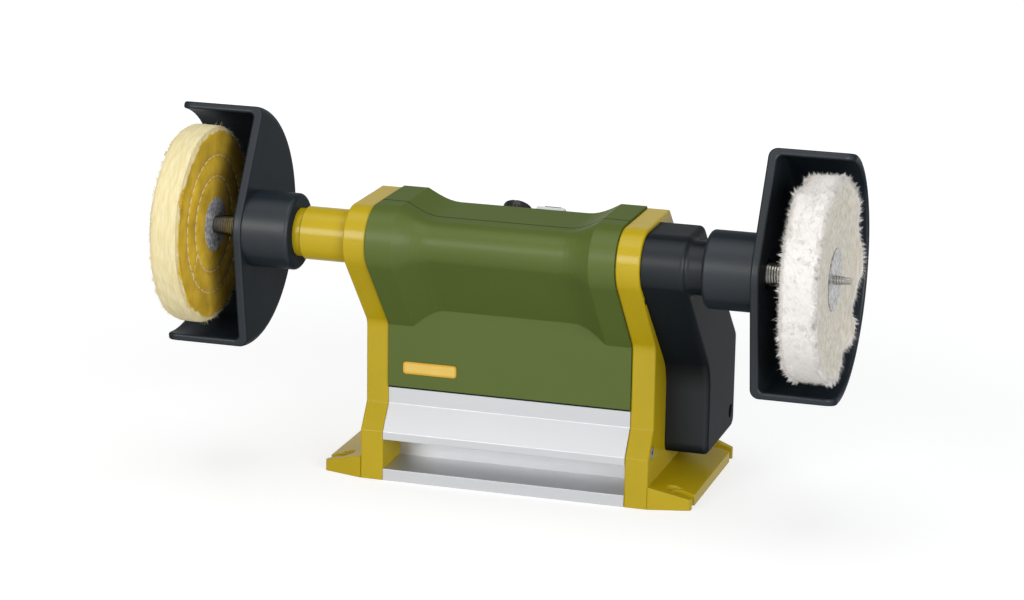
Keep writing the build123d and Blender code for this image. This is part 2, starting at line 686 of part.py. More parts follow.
def spindle():
    half = [
        (0, SPINDLE_RADIUS),
        (SPIGOT_END_X, SPINDLE_RADIUS),
        (SPIGOT_END_X, SPINDLE_NOSE_RADIUS),
        (TAPER_START_X, SPINDLE_NOSE_RADIUS),
        (TAPER_END_X - TIP_ROUND, SPINDLE_TIP_RADIUS),
        (TAPER_END_X, SPINDLE_TIP_RADIUS - TIP_ROUND),
        (TAPER_END_X, 0),
        (0, 0),
    ]
    shaft = turned(half)
    shaft += left_of(shaft)
    for x in clip_places():
        shaft -= ring(x, x + CLIP_THICKNESS, SPINDLE_RADIUS + CLIP_GROOVE, SPINDLE_RADIUS - CLIP_GROOVE)
    return shaft


def spindle_circlips():
    mouth_half = math.tan(math.radians(CLIP_OPENING_DEG / 2)) * CLIP_RADIUS
    mouth = make_face(
        Polyline(
            (SPINDLE_Y, SPINDLE_Z),
            (SPINDLE_Y + CLIP_RADIUS * 1.2, SPINDLE_Z - mouth_half * 1.2),
            (SPINDLE_Y + CLIP_RADIUS * 1.2, SPINDLE_Z + mouth_half * 1.2),
            close=True,
        )
    )
    clips = Part()
    for x in clip_places():
        clip = ring(x, x + CLIP_THICKNESS, CLIP_RADIUS, SPINDLE_RADIUS - CLIP_GROOVE + FIT)
        clips += clip - prism(mouth, x, x + CLIP_THICKNESS)
    return clips


def pulley_outline(radius):
    """Half section of a ribbed pulley with a flange at each end, from left to right."""
    points = [
        (PULLEY_START_X, radius + FLANGE_HEIGHT),
        (PULLEY_START_X + FLANGE_WIDTH, radius + FLANGE_HEIGHT),
        (PULLEY_START_X + FLANGE_WIDTH, radius),
    ]
    for number in range(RIB_COUNT):
        middle = BELT_X + (number - (RIB_COUNT - 1) / 2) * RIB_PITCH
        points += [
            (middle - GROOVE_TOP, radius),
            (middle - GROOVE_BOTTOM, radius - GROOVE_DEPTH),
            (middle + GROOVE_BOTTOM, radius - GROOVE_DEPTH),
            (middle + GROOVE_TOP, radius),
        ]
    points += [
        (PULLEY_END_X - FLANGE_WIDTH, radius),
        (PULLEY_END_X - FLANGE_WIDTH, radius + FLANGE_HEIGHT),
        (PULLEY_END_X, radius + FLANGE_HEIGHT),
    ]
    return points


def spindle_pulley():
    bore = SPINDLE_RADIUS + FIT
    hub_x = INNER_X + RIGHT_BEARING_WIDTH
    points = [(hub_x, bore), (hub_x, HUB_RADIUS), (PULLEY_START_X, HUB_RADIUS)]
    points += pulley_outline(SPINDLE_PULLEY_RADIUS) + [(PULLEY_END_X, bore)]
    return turned(points)


def motor_pulley():
    bore = MOTOR_SHAFT_RADIUS + FIT
    points = [(PULLEY_START_X, bore)] + pulley_outline(MOTOR_PULLEY_RADIUS) + [(PULLEY_END_X, bore)]
    return turned(points, MOTOR_Y, MOTOR_Z)


def drive_belt():
    """Ribbed belt: two straight runs and two arcs, clear of both pulleys by the belt gap."""
    spindle_centre = Vector(SPINDLE_Y, SPINDLE_Z)
    motor_centre = Vector(MOTOR_Y, MOTOR_Z)
    upper = SPINDLE_PULLEY_RADIUS + BELT_GAP
    lower = MOTOR_PULLEY_RADIUS + BELT_GAP
    span = (motor_centre - spindle_centre).length
    lean = math.degrees(math.asin((upper - lower) / span))
    front = direction(BELT_RUN_DEG - 90 + lean)
    rear = direction(BELT_RUN_DEG + 90 - lean)
    outward = direction(BELT_RUN_DEG)
    route = Wire(
        [
            Line(spindle_centre + front * upper, motor_centre + front * lower),
            ThreePointArc(
                motor_centre + front * lower, motor_centre + outward * lower, motor_centre + rear * lower
            ),
            Line(motor_centre + rear * lower, spindle_centre + rear * upper),
            ThreePointArc(
                spindle_centre + rear * upper,
                spindle_centre - outward * upper,
                spindle_centre + front * upper,
            ),
        ]
    )
    route = Plane.YZ.offset(BELT_X) * route
    points = [(RIB_WIDTH / 2, BELT_BACK), (-RIB_WIDTH / 2, BELT_BACK), (-RIB_WIDTH / 2, 0)]
    for number in range(RIB_COUNT):
        middle = (number - (RIB_COUNT - 1) / 2) * RIB_PITCH
        points += [
            (middle - RIB_BASE, 0),
            (middle - RIB_TIP, -RIB_HEIGHT),
            (middle + RIB_TIP, -RIB_HEIGHT),
            (middle + RIB_BASE, 0),
        ]
    points.append((RIB_WIDTH / 2, 0))
    start = spindle_centre + front * upper
    run = (motor_centre + front * lower - start).normalized()
    across = Plane((BELT_X, start.X, start.Y), x_dir=(1, 0, 0), z_dir=(0, run.X, run.Y))
    return sweep(across * make_face(Polyline(*points, close=True)), path=route)


def cover_outline(inset):
    """Side view of the belt cover: bulb at the spindle, a slanted waist and a box round the motor pulley."""
    radius = COVER_BULB_RADIUS - inset
    centre = Vector(SPINDLE_Y, SPINDLE_Z)
    lean = math.degrees(math.asin((COVER_BULB_RADIUS - COVER_MOTOR_RADIUS) / BELT_SPAN))
    front_deg = BELT_RUN_DEG - 90 + lean
    front_normal = direction(front_deg)
    rear_normal = direction(90 - REAR_SLOPE_DEG)
    top = SPINDLE_Z + radius
    front_y = COVER_FRONT_Y + inset
    rear_y = COVER_REAR_Y - inset
    bottom = COVER_BOTTOM + inset
    front_z = SPINDLE_Z + (radius - front_normal.X * (front_y - SPINDLE_Y)) / front_normal.Y
    rear_line = Vector(COVER_TOP_REAR_Y, SPINDLE_Z + COVER_BULB_RADIUS) - rear_normal * inset
    corner_y = rear_line.X - (top - rear_line.Y) * rear_normal.Y / rear_normal.X
    rear_z = rear_line.Y - (rear_y - rear_line.X) * rear_normal.X / rear_normal.Y
    bulb_start = centre + front_normal * radius
    bulb_middle = centre + direction((front_deg + 360 + 90) / 2) * radius
    corner = COVER_CORNER - inset
    outline = make_face(
        [
            Line((front_y, bottom), (front_y, front_z)),
            Line((front_y, front_z), bulb_start),
            ThreePointArc(bulb_start, bulb_middle, (SPINDLE_Y, top)),
            Line((SPINDLE_Y, top), (corner_y, top)),
            Line((corner_y, top), (rear_y, rear_z)),
            Line((rear_y, rear_z), (rear_y, bottom)),
            Line((rear_y, bottom), (front_y, bottom)),
        ]
    )
    rounded = (
        (front_y, bottom),
        (rear_y, bottom),
        (rear_y, rear_z),
        (corner_y, top),
    )
    for y, z in rounded:
        outline = fillet(outline.vertices().sort_by_distance((y, z, 0))[0], corner)
    waist = outline.vertices().sort_by_distance((front_y, front_z, 0))[0]
    return fillet(waist, COVER_BLEND + inset)


def at_neck_root(edge):
    """Whether an edge of the cover lies where its neck leaves its face."""
    middle = edge @ 0.5
    radius = math.hypot(middle.Y - SPINDLE_Y, middle.Z - SPINDLE_Z)
    return COVER_X - COVER_EDGE < middle.X < COVER_X + FIT and abs(radius - TUBE_RADIUS) < FIT


def belt_cover():
    shell = prism(cover_outline(0), OUTER_X, COVER_X)
    shell = fillet(shell.faces().sort_by(Axis.X)[-1].edges(), COVER_EDGE)
    shell += ring(COVER_X - COVER_EDGE, TUBE_SHOULDER_X, TUBE_RADIUS, TUBE_BORE_RADIUS)
    shell = fillet([edge for edge in shell.edges() if at_neck_root(edge)], NECK_ROOT)
    shell += ring(TUBE_SHOULDER_X, SPIGOT_END_X, SPIGOT_RADIUS, TUBE_BORE_RADIUS)
    room = prism(cover_outline(COVER_WALL), OUTER_X, COVER_X - COVER_FACE)
    for y, z in COVER_SCREWS:
        room -= rod(OUTER_X, COVER_X, COVER_BOSS_RADIUS, y, z)
    shell -= room
    shell -= rod(OUTER_X, SPIGOT_END_X, TUBE_BORE_RADIUS)
    for y, z in COVER_SCREWS:
        shell -= rod(COVER_X - COVER_RECESS_DEPTH, COVER_X, COVER_RECESS_RADIUS, y, z)
        shell -= rod(OUTER_X, COVER_X, COVER_SCREW_RADIUS + SCREW_CLEARANCE, y, z)
    return shell


def guard_outline(radius):
    """Side view of a guard: round at the back, with a front edge that noses forward round the boss."""
    centre = Vector(SPINDLE_Y, SPINDLE_Z)
    top_deg = 90 - GUARD_TILT_DEG
    half_deg = math.degrees(math.asin(GUARD_NOSE_RADIUS / radius))
    upper_normal = direction(top_deg + 90 - half_deg)
    lower_normal = direction(top_deg + 90 + half_deg)
    top = centre + direction(top_deg) * radius
    bottom = centre - direction(top_deg) * radius
    nose_top = centre + upper_normal * GUARD_NOSE_RADIUS
    nose_front = centre + direction(top_deg + 90) * GUARD_NOSE_RADIUS
    nose_bottom = centre + lower_normal * GUARD_NOSE_RADIUS
    return make_face(
        [
            Line(top, nose_top),
            ThreePointArc(nose_top, nose_front, nose_bottom),
            Line(nose_bottom, bottom),
            ThreePointArc(bottom, centre + direction(top_deg - 90) * radius, top),
        ]
    )


def guard(depth):
    """A guard drawn on the right: boss, plate and a half-round rim as deep as asked."""
    end_x = GUARD_PLATE_X + depth
    outline = guard_outline(GUARD_RADIUS)
    hood = prism(outline, GUARD_PLATE_X, end_x)
    plate_edge = hood.faces().sort_by(Axis.X)[0].edges().sort_by(Axis.Y)[-1]
    hood = fillet(plate_edge, GUARD_EDGE)
    inside = Pos(SPINDLE_Y, SPINDLE_Z) * Circle(GUARD_RADIUS - GUARD_WALL)
    inner_x = GUARD_PLATE_X + GUARD_PLATE
    hood -= prism(inside, inner_x, end_x)
    tips = [edge for edge in hood.faces().sort_by(Axis.X)[-1].edges() if edge.length < 2 * GUARD_WALL]
    hood = fillet(tips, GUARD_CORNER)
    inner_edges = [edge for edge in hood.edges() if abs(edge.center().X - inner_x) < FIT]
    hood = fillet([edge for edge in inner_edges if edge.center().Y > SPINDLE_Y], GUARD_ROOT)
    plate_edges = [edge for edge in hood.edges() if edge.center().Y < SPINDLE_Y]
    sides = (GUARD_PLATE_X, inner_x)
    front = [edge for edge in plate_edges if min(abs(edge.center().X - x) for x in sides) < FIT]
    hood = fillet(front, GUARD_ROUND)
    boss = rod(GUARD_BOSS_X, GUARD_PLATE_X, GUARD_BOSS_RADIUS)
    boss = fillet(boss.faces().sort_by(Axis.X)[0].edges(), GUARD_BOSS_ROUND)
    body = hood + boss
    body -= rod(GUARD_BOSS_X, SPIGOT_END_X + SEAM_GAP, SPIGOT_RADIUS + RUNNING_FIT)
    body -= rod(GUARD_BOSS_X, end_x, GUARD_HOLE_RADIUS)
    return body - guard_screw_room()


def left_guard():
    """The same guard on the left, a little nearer to its bracket and deeper by as much."""
    return Pos(LEFT_GUARD_SHIFT, 0, 0) * left_of(guard(GUARD_DEPTH + LEFT_GUARD_SHIFT))


def guard_screw_place():
    return (GUARD_BOSS_X + GUARD_BOSS_ROUND + GUARD_PLATE_X) / 2


def guard_screw_room():
    """Threaded hole through the back of the boss for the screw that holds the guard where it is set."""
    reach = GUARD_BOSS_RADIUS - SPIGOT_RADIUS
    hole = Cylinder(GUARD_SCREW_RADIUS + FIT, 2 * reach)
    return Pos(guard_screw_place(), SPINDLE_Y + SPIGOT_RADIUS + reach, SPINDLE_Z) * Rot(90, 0, 0) * hole


def right_guard_screw():
    length = GUARD_BOSS_RADIUS - SPIGOT_RADIUS - 2 * RUNNING_FIT
    body = Cylinder(GUARD_SCREW_RADIUS, length)
    socket = RegularPolygon(GUARD_SCREW_RADIUS / 2, 6, major_radius=False)
    body -= Pos(0, 0, length / 2) * extrude(socket, amount=-length / 3)
    middle = SPINDLE_Y + SPIGOT_RADIUS + RUNNING_FIT + length / 2
    return Pos(guard_screw_place(), middle, SPINDLE_Z) * Rot(-90, 0, 0) * body


def taper_radius(x):
    share = (x - TAPER_START_X) / (TAPER_END_X - TAPER_START_X)
    return SPINDLE_NOSE_RADIUS + (SPINDLE_TIP_RADIUS - SPINDLE_NOSE_RADIUS) * share


def wheel_bore(x_from, x_to):
    reach = DISC_THICKNESS
    return turned(
        [
            (x_from - reach, 0),
            (x_from - reach, taper_radius(x_from - reach) + TAPER_FIT),
            (x_to + reach, taper_radius(x_to + reach) + TAPER_FIT),
            (x_to + reach, 0),
        ]
    )


def wheel_face(x, way, disc_radius, stitches):
    """One face of a wheel from its centre out, as X and radius: sunk under the disc, dented at stitches."""
    points = [
        (x + way * DISC_SINK, 0),
        (x + way * DISC_SINK, disc_radius + FIT),
        (x, disc_radius + DISC_SINK),
    ]
    for stitch in stitches:
        points += [
            (x, stitch - STITCH_WIDTH / 2),
            (x + way * STITCH_DEPTH, stitch),
            (x, stitch + STITCH_WIDTH / 2),
        ]
    return points


def buffing_wheel(inner_x, disc_radius, stitches, rim_round):
    """A round stack of cloth layers, drawn on the right."""
    outer_x = inner_x + WHEEL_THICKNESS
    rim = [
        (inner_x, WHEEL_RADIUS - rim_round),
        (inner_x + rim_round * 0.3, WHEEL_RADIUS - rim_round * 0.3),
        (inner_x + rim_round, WHEEL_RADIUS),
    ]
    far_rim = [(inner_x + outer_x - x, radius) for x, radius in reversed(rim)]
    inner_face = wheel_face(inner_x, 1, disc_radius, stitches)
    outer_face = wheel_face(outer_x, -1, disc_radius, stitches)
    wheel = turned(inner_face + rim + far_rim + outer_face[::-1])
    return wheel - wheel_bore(inner_x, outer_x)


def wheel_discs(inner_x, disc_radius):
    """The two discs that hold a wheel's centre, one sunk in each face."""
    outer_x = inner_x + WHEEL_THICKNESS
    inner_disc = rod(inner_x + DISC_SINK - DISC_THICKNESS, inner_x + DISC_SINK, disc_radius)
    outer_disc = rod(outer_x - DISC_SINK, outer_x - DISC_SINK + DISC_THICKNESS, disc_radius)
    return inner_disc + outer_disc - wheel_bore(inner_x, outer_x)


def motor_can():
    return ring(
        MOTOR_REAR_X + BRUSH_CAP, INNER_X - END_BELL, MOTOR_RADIUS, MOTOR_RADIUS - CAN_WALL, MOTOR_Y, MOTOR_Z
    )


def motor_end_bell():
    """Cast end plate that bolts to the bracket, with a boss that centres the motor in it."""
    plate = rod(INNER_X - END_BELL, INNER_X, MOTOR_RADIUS, MOTOR_Y, MOTOR_Z)
    plate += rod(INNER_X, INNER_X + MOTOR_BOSS_LENGTH, MOTOR_BOSS_RADIUS, MOTOR_Y, MOTOR_Z)
    plate -= rod(INNER_X - END_BELL, OUTER_X, MOTOR_BUSH_RADIUS + FIT, MOTOR_Y, MOTOR_Z)
    for place in motor_screw_places():
        plate -= rod(INNER_X - END_BELL, INNER_X, MOTOR_SCREW_RADIUS + FIT, place.X, place.Y)
    return plate


def brush_boxes(length, width):
    """A block at each brush's place, either side of the commutator: length along X and width up."""
    middle = MOTOR_REAR_X + BRUSH_CAP + COMMUTATOR_LENGTH / 2
    reach = COMMUTATOR_RADIUS + BRUSH_GAP + BRUSH_LENGTH / 2
    front = Pos(middle, MOTOR_Y - reach, MOTOR_Z) * Box(length, BRUSH_LENGTH, width)
    rear = Pos(middle, MOTOR_Y + reach, MOTOR_Z) * Box(length, BRUSH_LENGTH, width)
    return front + rear


def motor_brush_cap():
    """Moulded end of the motor, with a pocket for the rear bush and a holder for each brush."""
    front_x = MOTOR_REAR_X + BRUSH_CAP
    cap = rod(MOTOR_REAR_X, front_x, MOTOR_RADIUS, MOTOR_Y, MOTOR_Z)
    cap -= rod(MOTOR_REAR_X + CAN_WALL, front_x, MOTOR_BUSH_RADIUS + FIT, MOTOR_Y, MOTOR_Z)
    cap += brush_boxes(COMMUTATOR_LENGTH, BRUSH_WIDTH + 2 * CAN_WALL)
    return cap - brush_boxes(BRUSH_WIDTH + 2 * FIT, BRUSH_WIDTH + 2 * FIT)


def motor_brushes():
    return brush_boxes(BRUSH_WIDTH, BRUSH_WIDTH)


def motor_bearings():
    bore = MOTOR_SHAFT_RADIUS + RUNNING_FIT
    rear_x = MOTOR_REAR_X + CAN_WALL
    rear = ring(rear_x, MOTOR_REAR_X + BRUSH_CAP, MOTOR_BUSH_RADIUS, bore, MOTOR_Y, MOTOR_Z)
    front = ring(
        INNER_X - END_BELL, INNER_X + MOTOR_BOSS_LENGTH, MOTOR_BUSH_RADIUS, bore, MOTOR_Y, MOTOR_Z
    )
    return rear + front


def motor_magnets():
    """Two arched magnets on the can's wall, left and right of the armature."""
    start = ARMATURE_START_X - MAGNET_OVERHANG
    end = ARMATURE_END_X + MAGNET_OVERHANG
    outer = MOTOR_RADIUS - CAN_WALL - FIT
    sleeve = ring(start, end, outer, outer - MAGNET_THICKNESS, MOTOR_Y, MOTOR_Z)
    slope = math.tan(math.radians(MAGNET_ARC_DEG / 2))
    reach = MOTOR_RADIUS * 2
    wedge = make_face(
        Polyline(
            (MOTOR_Y, MOTOR_Z),
            (MOTOR_Y + reach, MOTOR_Z - reach * slope),
            (MOTOR_Y + reach, MOTOR_Z + reach * slope),
            close=True,
        )
    )
    rear = sleeve & prism(wedge, start, end)
    front = mirror(rear, about=Plane.XZ.offset(-MOTOR_Y))
    return rear + front


def motor_armature():
    """Laminated core with a slot for each winding."""
    core = rod(ARMATURE_START_X, ARMATURE_END_X, ARMATURE_RADIUS, MOTOR_Y, MOTOR_Z)
    slot_middle = ARMATURE_RADIUS - ARMATURE_SLOT_DEPTH / 2 + AIR_GAP
    for number in range(ARMATURE_SLOTS):
        angle = 360 * number / ARMATURE_SLOTS
        slot = Pos(slot_middle, 0) * Rectangle(ARMATURE_SLOT_DEPTH + 2 * AIR_GAP, ARMATURE_SLOT_WIDTH)
        core -= prism(Pos(MOTOR_Y, MOTOR_Z) * Rot(0, 0, angle) * slot, ARMATURE_START_X, ARMATURE_END_X)
    return core - rod(ARMATURE_START_X, ARMATURE_END_X, MOTOR_SHAFT_RADIUS + FIT, MOTOR_Y, MOTOR_Z)


def motor_commutator():
    start = MOTOR_REAR_X + BRUSH_CAP + AIR_GAP
    end = start + COMMUTATOR_LENGTH
    return ring(start, end, COMMUTATOR_RADIUS, MOTOR_SHAFT_RADIUS + FIT, MOTOR_Y, MOTOR_Z)


def motor_windings():
    """The ends of the windings, a ring of wire at each end of the armature."""
    inner = MOTOR_SHAFT_RADIUS + FIT
    rings = Part()
    for near, way in ((ARMATURE_START_X, -1), (ARMATURE_END_X, 1)):
        far = near + way * WINDING_REACH
        rings += turned(
            [
                (near, inner),
                (near, WINDING_RADIUS),
                (far - way * WINDING_ROUND, WINDING_RADIUS),
                (far, WINDING_RADIUS - WINDING_ROUND),
                (far, inner),
            ],
            MOTOR_Y,
            MOTOR_Z,
        )
    return rings


def motor_shaft():
    start = MOTOR_REAR_X + CAN_WALL + AIR_GAP
    return rod(start, PULLEY_END_X + AIR_GAP, MOTOR_SHAFT_RADIUS, MOTOR_Y, MOTOR_Z)


def frame_screws():
    screws = Part()
    tip = OUTER_X - SCREW_HEAD_HEIGHT - FRAME_SCREW_LENGTH
    for place in frame_screw_places():
        right = screw(OUTER_X, tip, place.X, place.Y, FRAME_SCREW_RADIUS)
        screws += right + left_of(right)
    return screws


def hood_screws():
    screws = Part()
    tip = INNER_X - HOOD_BOSS_LENGTH * 0.8
    for place in hood_screw_places():
        right = screw(OUTER_X, tip, place.X, place.Y, HOOD_SCREW_RADIUS)
        screws += right + left_of(right)
    return screws


def motor_screws():
    screws = Part()
    for place in motor_screw_places():
        screws += screw(OUTER_X, INNER_X - END_BELL, place.X, place.Y, MOTOR_SCREW_RADIUS)
    return screws


def cover_screws():
    screws = Part()
    head_x = COVER_X - COVER_RECESS_DEPTH + SCREW_HEAD_HEIGHT
    tip = INNER_X + BRACKET_WEB
    for y, z in COVER_SCREWS:
        screws += screw(head_x, tip, y, z, COVER_SCREW_RADIUS, COVER_SCREW_HEAD)
    return screws


def potentiometer():
    """Body under the hood's slope, with a bush through it."""
    body = Pos(0, 0, -HOOD_WALL - POT_DEPTH) * Cylinder(POT_RADIUS, POT_DEPTH, align=ON_BASE)
    body += Pos(0, 0, -HOOD_WALL) * Cylinder(POT_BUSH_RADIUS, HOOD_WALL + POT_BUSH_RISE, align=ON_BASE)
    bore = Pos(0, 0, -HOOD_WALL - POT_DEPTH / 2) * Cylinder(
        POT_SHAFT_RADIUS + RUNNING_FIT, POT_DEPTH + HOOD_WALL + POT_BUSH_RISE, align=ON_BASE
    )
    return panel(KNOB_X, KNOB_DOWN) * (body - bore)


def potentiometer_nut():
    nut = extrude(RegularPolygon(POT_NUT_WIDTH / 2, 6, major_radius=False), amount=POT_NUT_HEIGHT)
    nut -= Cylinder(POT_BUSH_RADIUS + FIT, 4 * POT_NUT_HEIGHT)
    return panel(KNOB_X, KNOB_DOWN) * nut


def potentiometer_shaft():
    bottom = -HOOD_WALL - POT_DEPTH / 2 + RUNNING_FIT
    shaft = Pos(0, 0, bottom) * Cylinder(POT_SHAFT_RADIUS, POT_SHAFT_RISE - bottom, align=ON_BASE)
    return panel(KNOB_X, KNOB_DOWN) * shaft


def speed_knob():
    """Fluted knob with a pointer groove, hollow over the nut."""
    top = KNOB_GAP + KNOB_HEIGHT
    knob = extrude(Pos(0, 0, KNOB_GAP) * Circle(KNOB_RADIUS), amount=KNOB_HEIGHT, taper=3)
    knob = fillet(knob.edges().group_by(Axis.Z)[-1], KNOB_ROUND)
    for number in range(KNOB_FLUTES):
        place = Rot(0, 0, 360 * number / KNOB_FLUTES) * Pos(KNOB_RADIUS, 0, KNOB_GAP)
        knob -= place * Cylinder(KNOB_FLUTE_RADIUS, KNOB_HEIGHT * 0.6, align=ON_BASE)
    groove = Pos(0, -KNOB_RADIUS / 2, top) * Box(KNOB_ROUND, KNOB_RADIUS, KNOB_ROUND)
    knob -= groove
    room_radius = POT_NUT_WIDTH / math.sqrt(3) + SEAM_GAP
    knob -= Cylinder(room_radius, POT_BUSH_RISE + SEAM_GAP, align=ON_BASE)
    knob -= Cylinder(POT_SHAFT_RADIUS + FIT, POT_SHAFT_RISE + FIT, align=ON_BASE)
    return panel(KNOB_X, KNOB_DOWN) * knob


def switch_housing():
    """Rim on the slope, body under it, and the open cavity that the rocker tilts in."""
    rim = Box(SWITCH_WIDTH, SWITCH_LENGTH, SWITCH_RISE, align=ON_BASE)
    rim = fillet(rim.edges().filter_by(Axis.Z) + rim.edges().group_by(Axis.Z)[-1], SWITCH_RISE / 3)
    body_width = SWITCH_WIDTH - 2 * SWITCH_RIM
    body_length = SWITCH_LENGTH - 2 * SWITCH_RIM
    body = Pos(0, 0, -SWITCH_BODY_DEPTH) * Box(body_width, body_length, SWITCH_BODY_DEPTH, align=ON_BASE)
    cavity = Pos(0, 0, -SWITCH_CAVITY_DEPTH) * Box(
        body_width - SWITCH_SIDE,
        SWITCH_LENGTH - 2 * SWITCH_END,
        SWITCH_CAVITY_DEPTH + 2 * SWITCH_RISE,
        align=ON_BASE,
    )
    body += Pos(0, 0, -SWITCH_CAVITY_DEPTH) * Box(
        body_width, body_length, SWITCH_CAVITY_DEPTH, align=ON_BASE
    )
    pin = Pos(0, 0, -ROCKER_PIVOT_DEPTH) * Rot(0, 90, 0)
    pin *= Cylinder(ROCKER_PIN_RADIUS + RUNNING_FIT, body_width + SWITCH_RIM)
    return panel(SWITCH_X, SWITCH_DOWN) * (rim + body - cavity - pin)


def rocker():
    """Two-winged paddle on a pin, resting with one end pressed."""
    half = ROCKER_HALF_LENGTH
    wing = ROCKER_PIVOT_DEPTH + SWITCH_RISE
    view = Polyline(
        (-half, wing * 0.55),
        (-half, wing * 1.2),
        (0, wing * 0.85),
        (half, wing * 1.2),
        (half, wing * 0.55),
        (half * 0.4, -wing * 0.6),
        (-half * 0.4, -wing * 0.6),
        close=True,
    )
    width = SWITCH_WIDTH - 2 * SWITCH_RIM - SWITCH_SIDE - 2 * ROCKER_SIDE_GAP
    paddle = extrude(Plane.YZ.offset(-width / 2) * make_face(view), amount=width)
    pin_length = SWITCH_WIDTH - 2 * SWITCH_RIM - 2 * RUNNING_FIT
    paddle += Rot(0, 90, 0) * Cylinder(ROCKER_PIN_RADIUS, pin_length)
    place = panel(SWITCH_X, SWITCH_DOWN) * Pos(0, 0, -ROCKER_PIVOT_DEPTH)
    return place * Rot(-ROCKER_TILT_DEG, 0, 0) * paddle


def control_board():
    """Circuit board behind the potentiometer, with a heat sink and a capacitor."""
    top = -HOOD_WALL - POT_DEPTH
    middle = BOARD_RIGHT_X - BOARD_LENGTH / 2 - KNOB_X
    board = Pos(middle, 0, top - BOARD_THICKNESS) * Box(
        BOARD_LENGTH, BOARD_HEIGHT, BOARD_THICKNESS, align=ON_BASE
    )
    sink_place = Pos(middle - BOARD_LENGTH / 4, 0, top - BOARD_THICKNESS)
    board += sink_place * Box(BOARD_LENGTH / 3, BOARD_HEIGHT / 2, SINK_HEIGHT, align=HANGING)
    for fin in (-1, 0, 1):
        gap = sink_place * Pos(fin * BOARD_LENGTH / 10, 0, -2 * BOARD_THICKNESS)
        board -= gap * Box(SINK_GAP, BOARD_HEIGHT, SINK_HEIGHT, align=HANGING)
    capacitor = Pos(middle + BOARD_LENGTH / 4, BOARD_HEIGHT / 4, top - BOARD_THICKNESS)
    board += capacitor * Cylinder(CAPACITOR_RADIUS, SINK_HEIGHT, align=HANGING)
    return panel(KNOB_X, KNOB_DOWN) * board


def cable_gland():
    """Flanged bush through the hood's rear wall for the mains lead."""
    outside = Cylinder(GLAND_FLANGE_RADIUS, GLAND_FLANGE, align=ON_BASE)
    outside = chamfer(outside.edges().group_by(Axis.Z)[-1], GLAND_FLANGE / 3)
    through = Pos(0, 0, -GLAND_LENGTH) * Cylinder(GLAND_RADIUS, GLAND_LENGTH, align=ON_BASE)
    gland = outside + through - Cylinder(GLAND_BORE_RADIUS, 3 * GLAND_LENGTH)
    return Pos(GLAND_X, HOOD_HALF, GLAND_Z) * Rot(-90, 0, 0) * gland


def build_pieces():
    shell = hood_shell()
    guard_screw = right_guard_screw()
    left_wheel = left_of(buffing_wheel(LEFT_WHEEL_X, LEFT_DISC_RADIUS, STITCH_RADII, RIM_ROUND))
    right_wheel = buffing_wheel(RIGHT_WHEEL_X, RIGHT_DISC_RADIUS, (), FLUFF_RIM_ROUND)
    return {
        "left_bracket": left_bracket(),
        "right_bracket": right_bracket(),
        "chassis": chassis(),
        "front_shell": front_shell(shell),
        "rear_shell": rear_shell(shell),
        "left_spindle_tube": left_spindle_tube(),
        "belt_cover": belt_cover(),
        "frame_screws": frame_screws(),
        "hood_screws": hood_screws(),
        "cover_screws": cover_screws(),
        "motor_screws": motor_screws(),
        "motor_can": motor_can(),
        "motor_end_bell": motor_end_bell(),
        "motor_brush_cap": motor_brush_cap(),
        "motor_brushes": motor_brushes(),
        "motor_magnets": motor_magnets(),
        "motor_bearings": motor_bearings(),
        "motor_shaft": motor_shaft(),
        "motor_armature": motor_armature(),
        "motor_windings": motor_windings(),
        "motor_commutator": motor_commutator(),
        "motor_pulley": motor_pulley(),
        "drive_belt": drive_belt(),
        "spindle": spindle(),
        "spindle_pulley": spindle_pulley(),
        "spindle_circlips": spindle_circlips(),
        "bearing_outer_rings": bearing_outer_rings(),
        "bearing_inner_rings": bearing_inner_rings(),
        "left_wheel": left_wheel,
        "left_wheel_discs": left_of(wheel_discs(LEFT_WHEEL_X, LEFT_DISC_RADIUS)),
        "right_wheel": right_wheel,
        "right_wheel_discs": wheel_discs(RIGHT_WHEEL_X, RIGHT_DISC_RADIUS),
        "left_guard": left_guard(),
        "left_guard_screw": Pos(LEFT_GUARD_SHIFT, 0, 0) * left_of(guard_screw),
        "right_guard": guard(GUARD_DEPTH),
        "right_guard_screw": guard_screw,
        "potentiometer": potentiometer(),
        "potentiometer_nut": potentiometer_nut(),
        "potentiometer_shaft": potentiometer_shaft(),
        "speed_knob": speed_knob(),
        "switch_housing": switch_housing(),
        "rocker": rocker(),
        "control_board": control_board(),
        "cable_gland": cable_gland(),
    }


os.makedirs("parts", exist_ok=True)
for name, piece in build_pieces().items():
    export_step(piece, f"parts/{name}.step")
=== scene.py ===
# %% [markdown]
# # A bench polishing machine
# The machine stands on two yellow cast brackets. A green hood hides the motor between them, a belt under
# the black cover drives the spindle, and a buffing wheel is screwed on each end of it, inside a guard.
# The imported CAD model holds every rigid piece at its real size. This lesson gives each surface its
# material, and models what CAD leaves plain: cloth, stitches, fray, screw threads, seals and paint.

# %% Load the frame
import json
import math
import random

import bpy
from mathutils import Matrix, Vector, noise


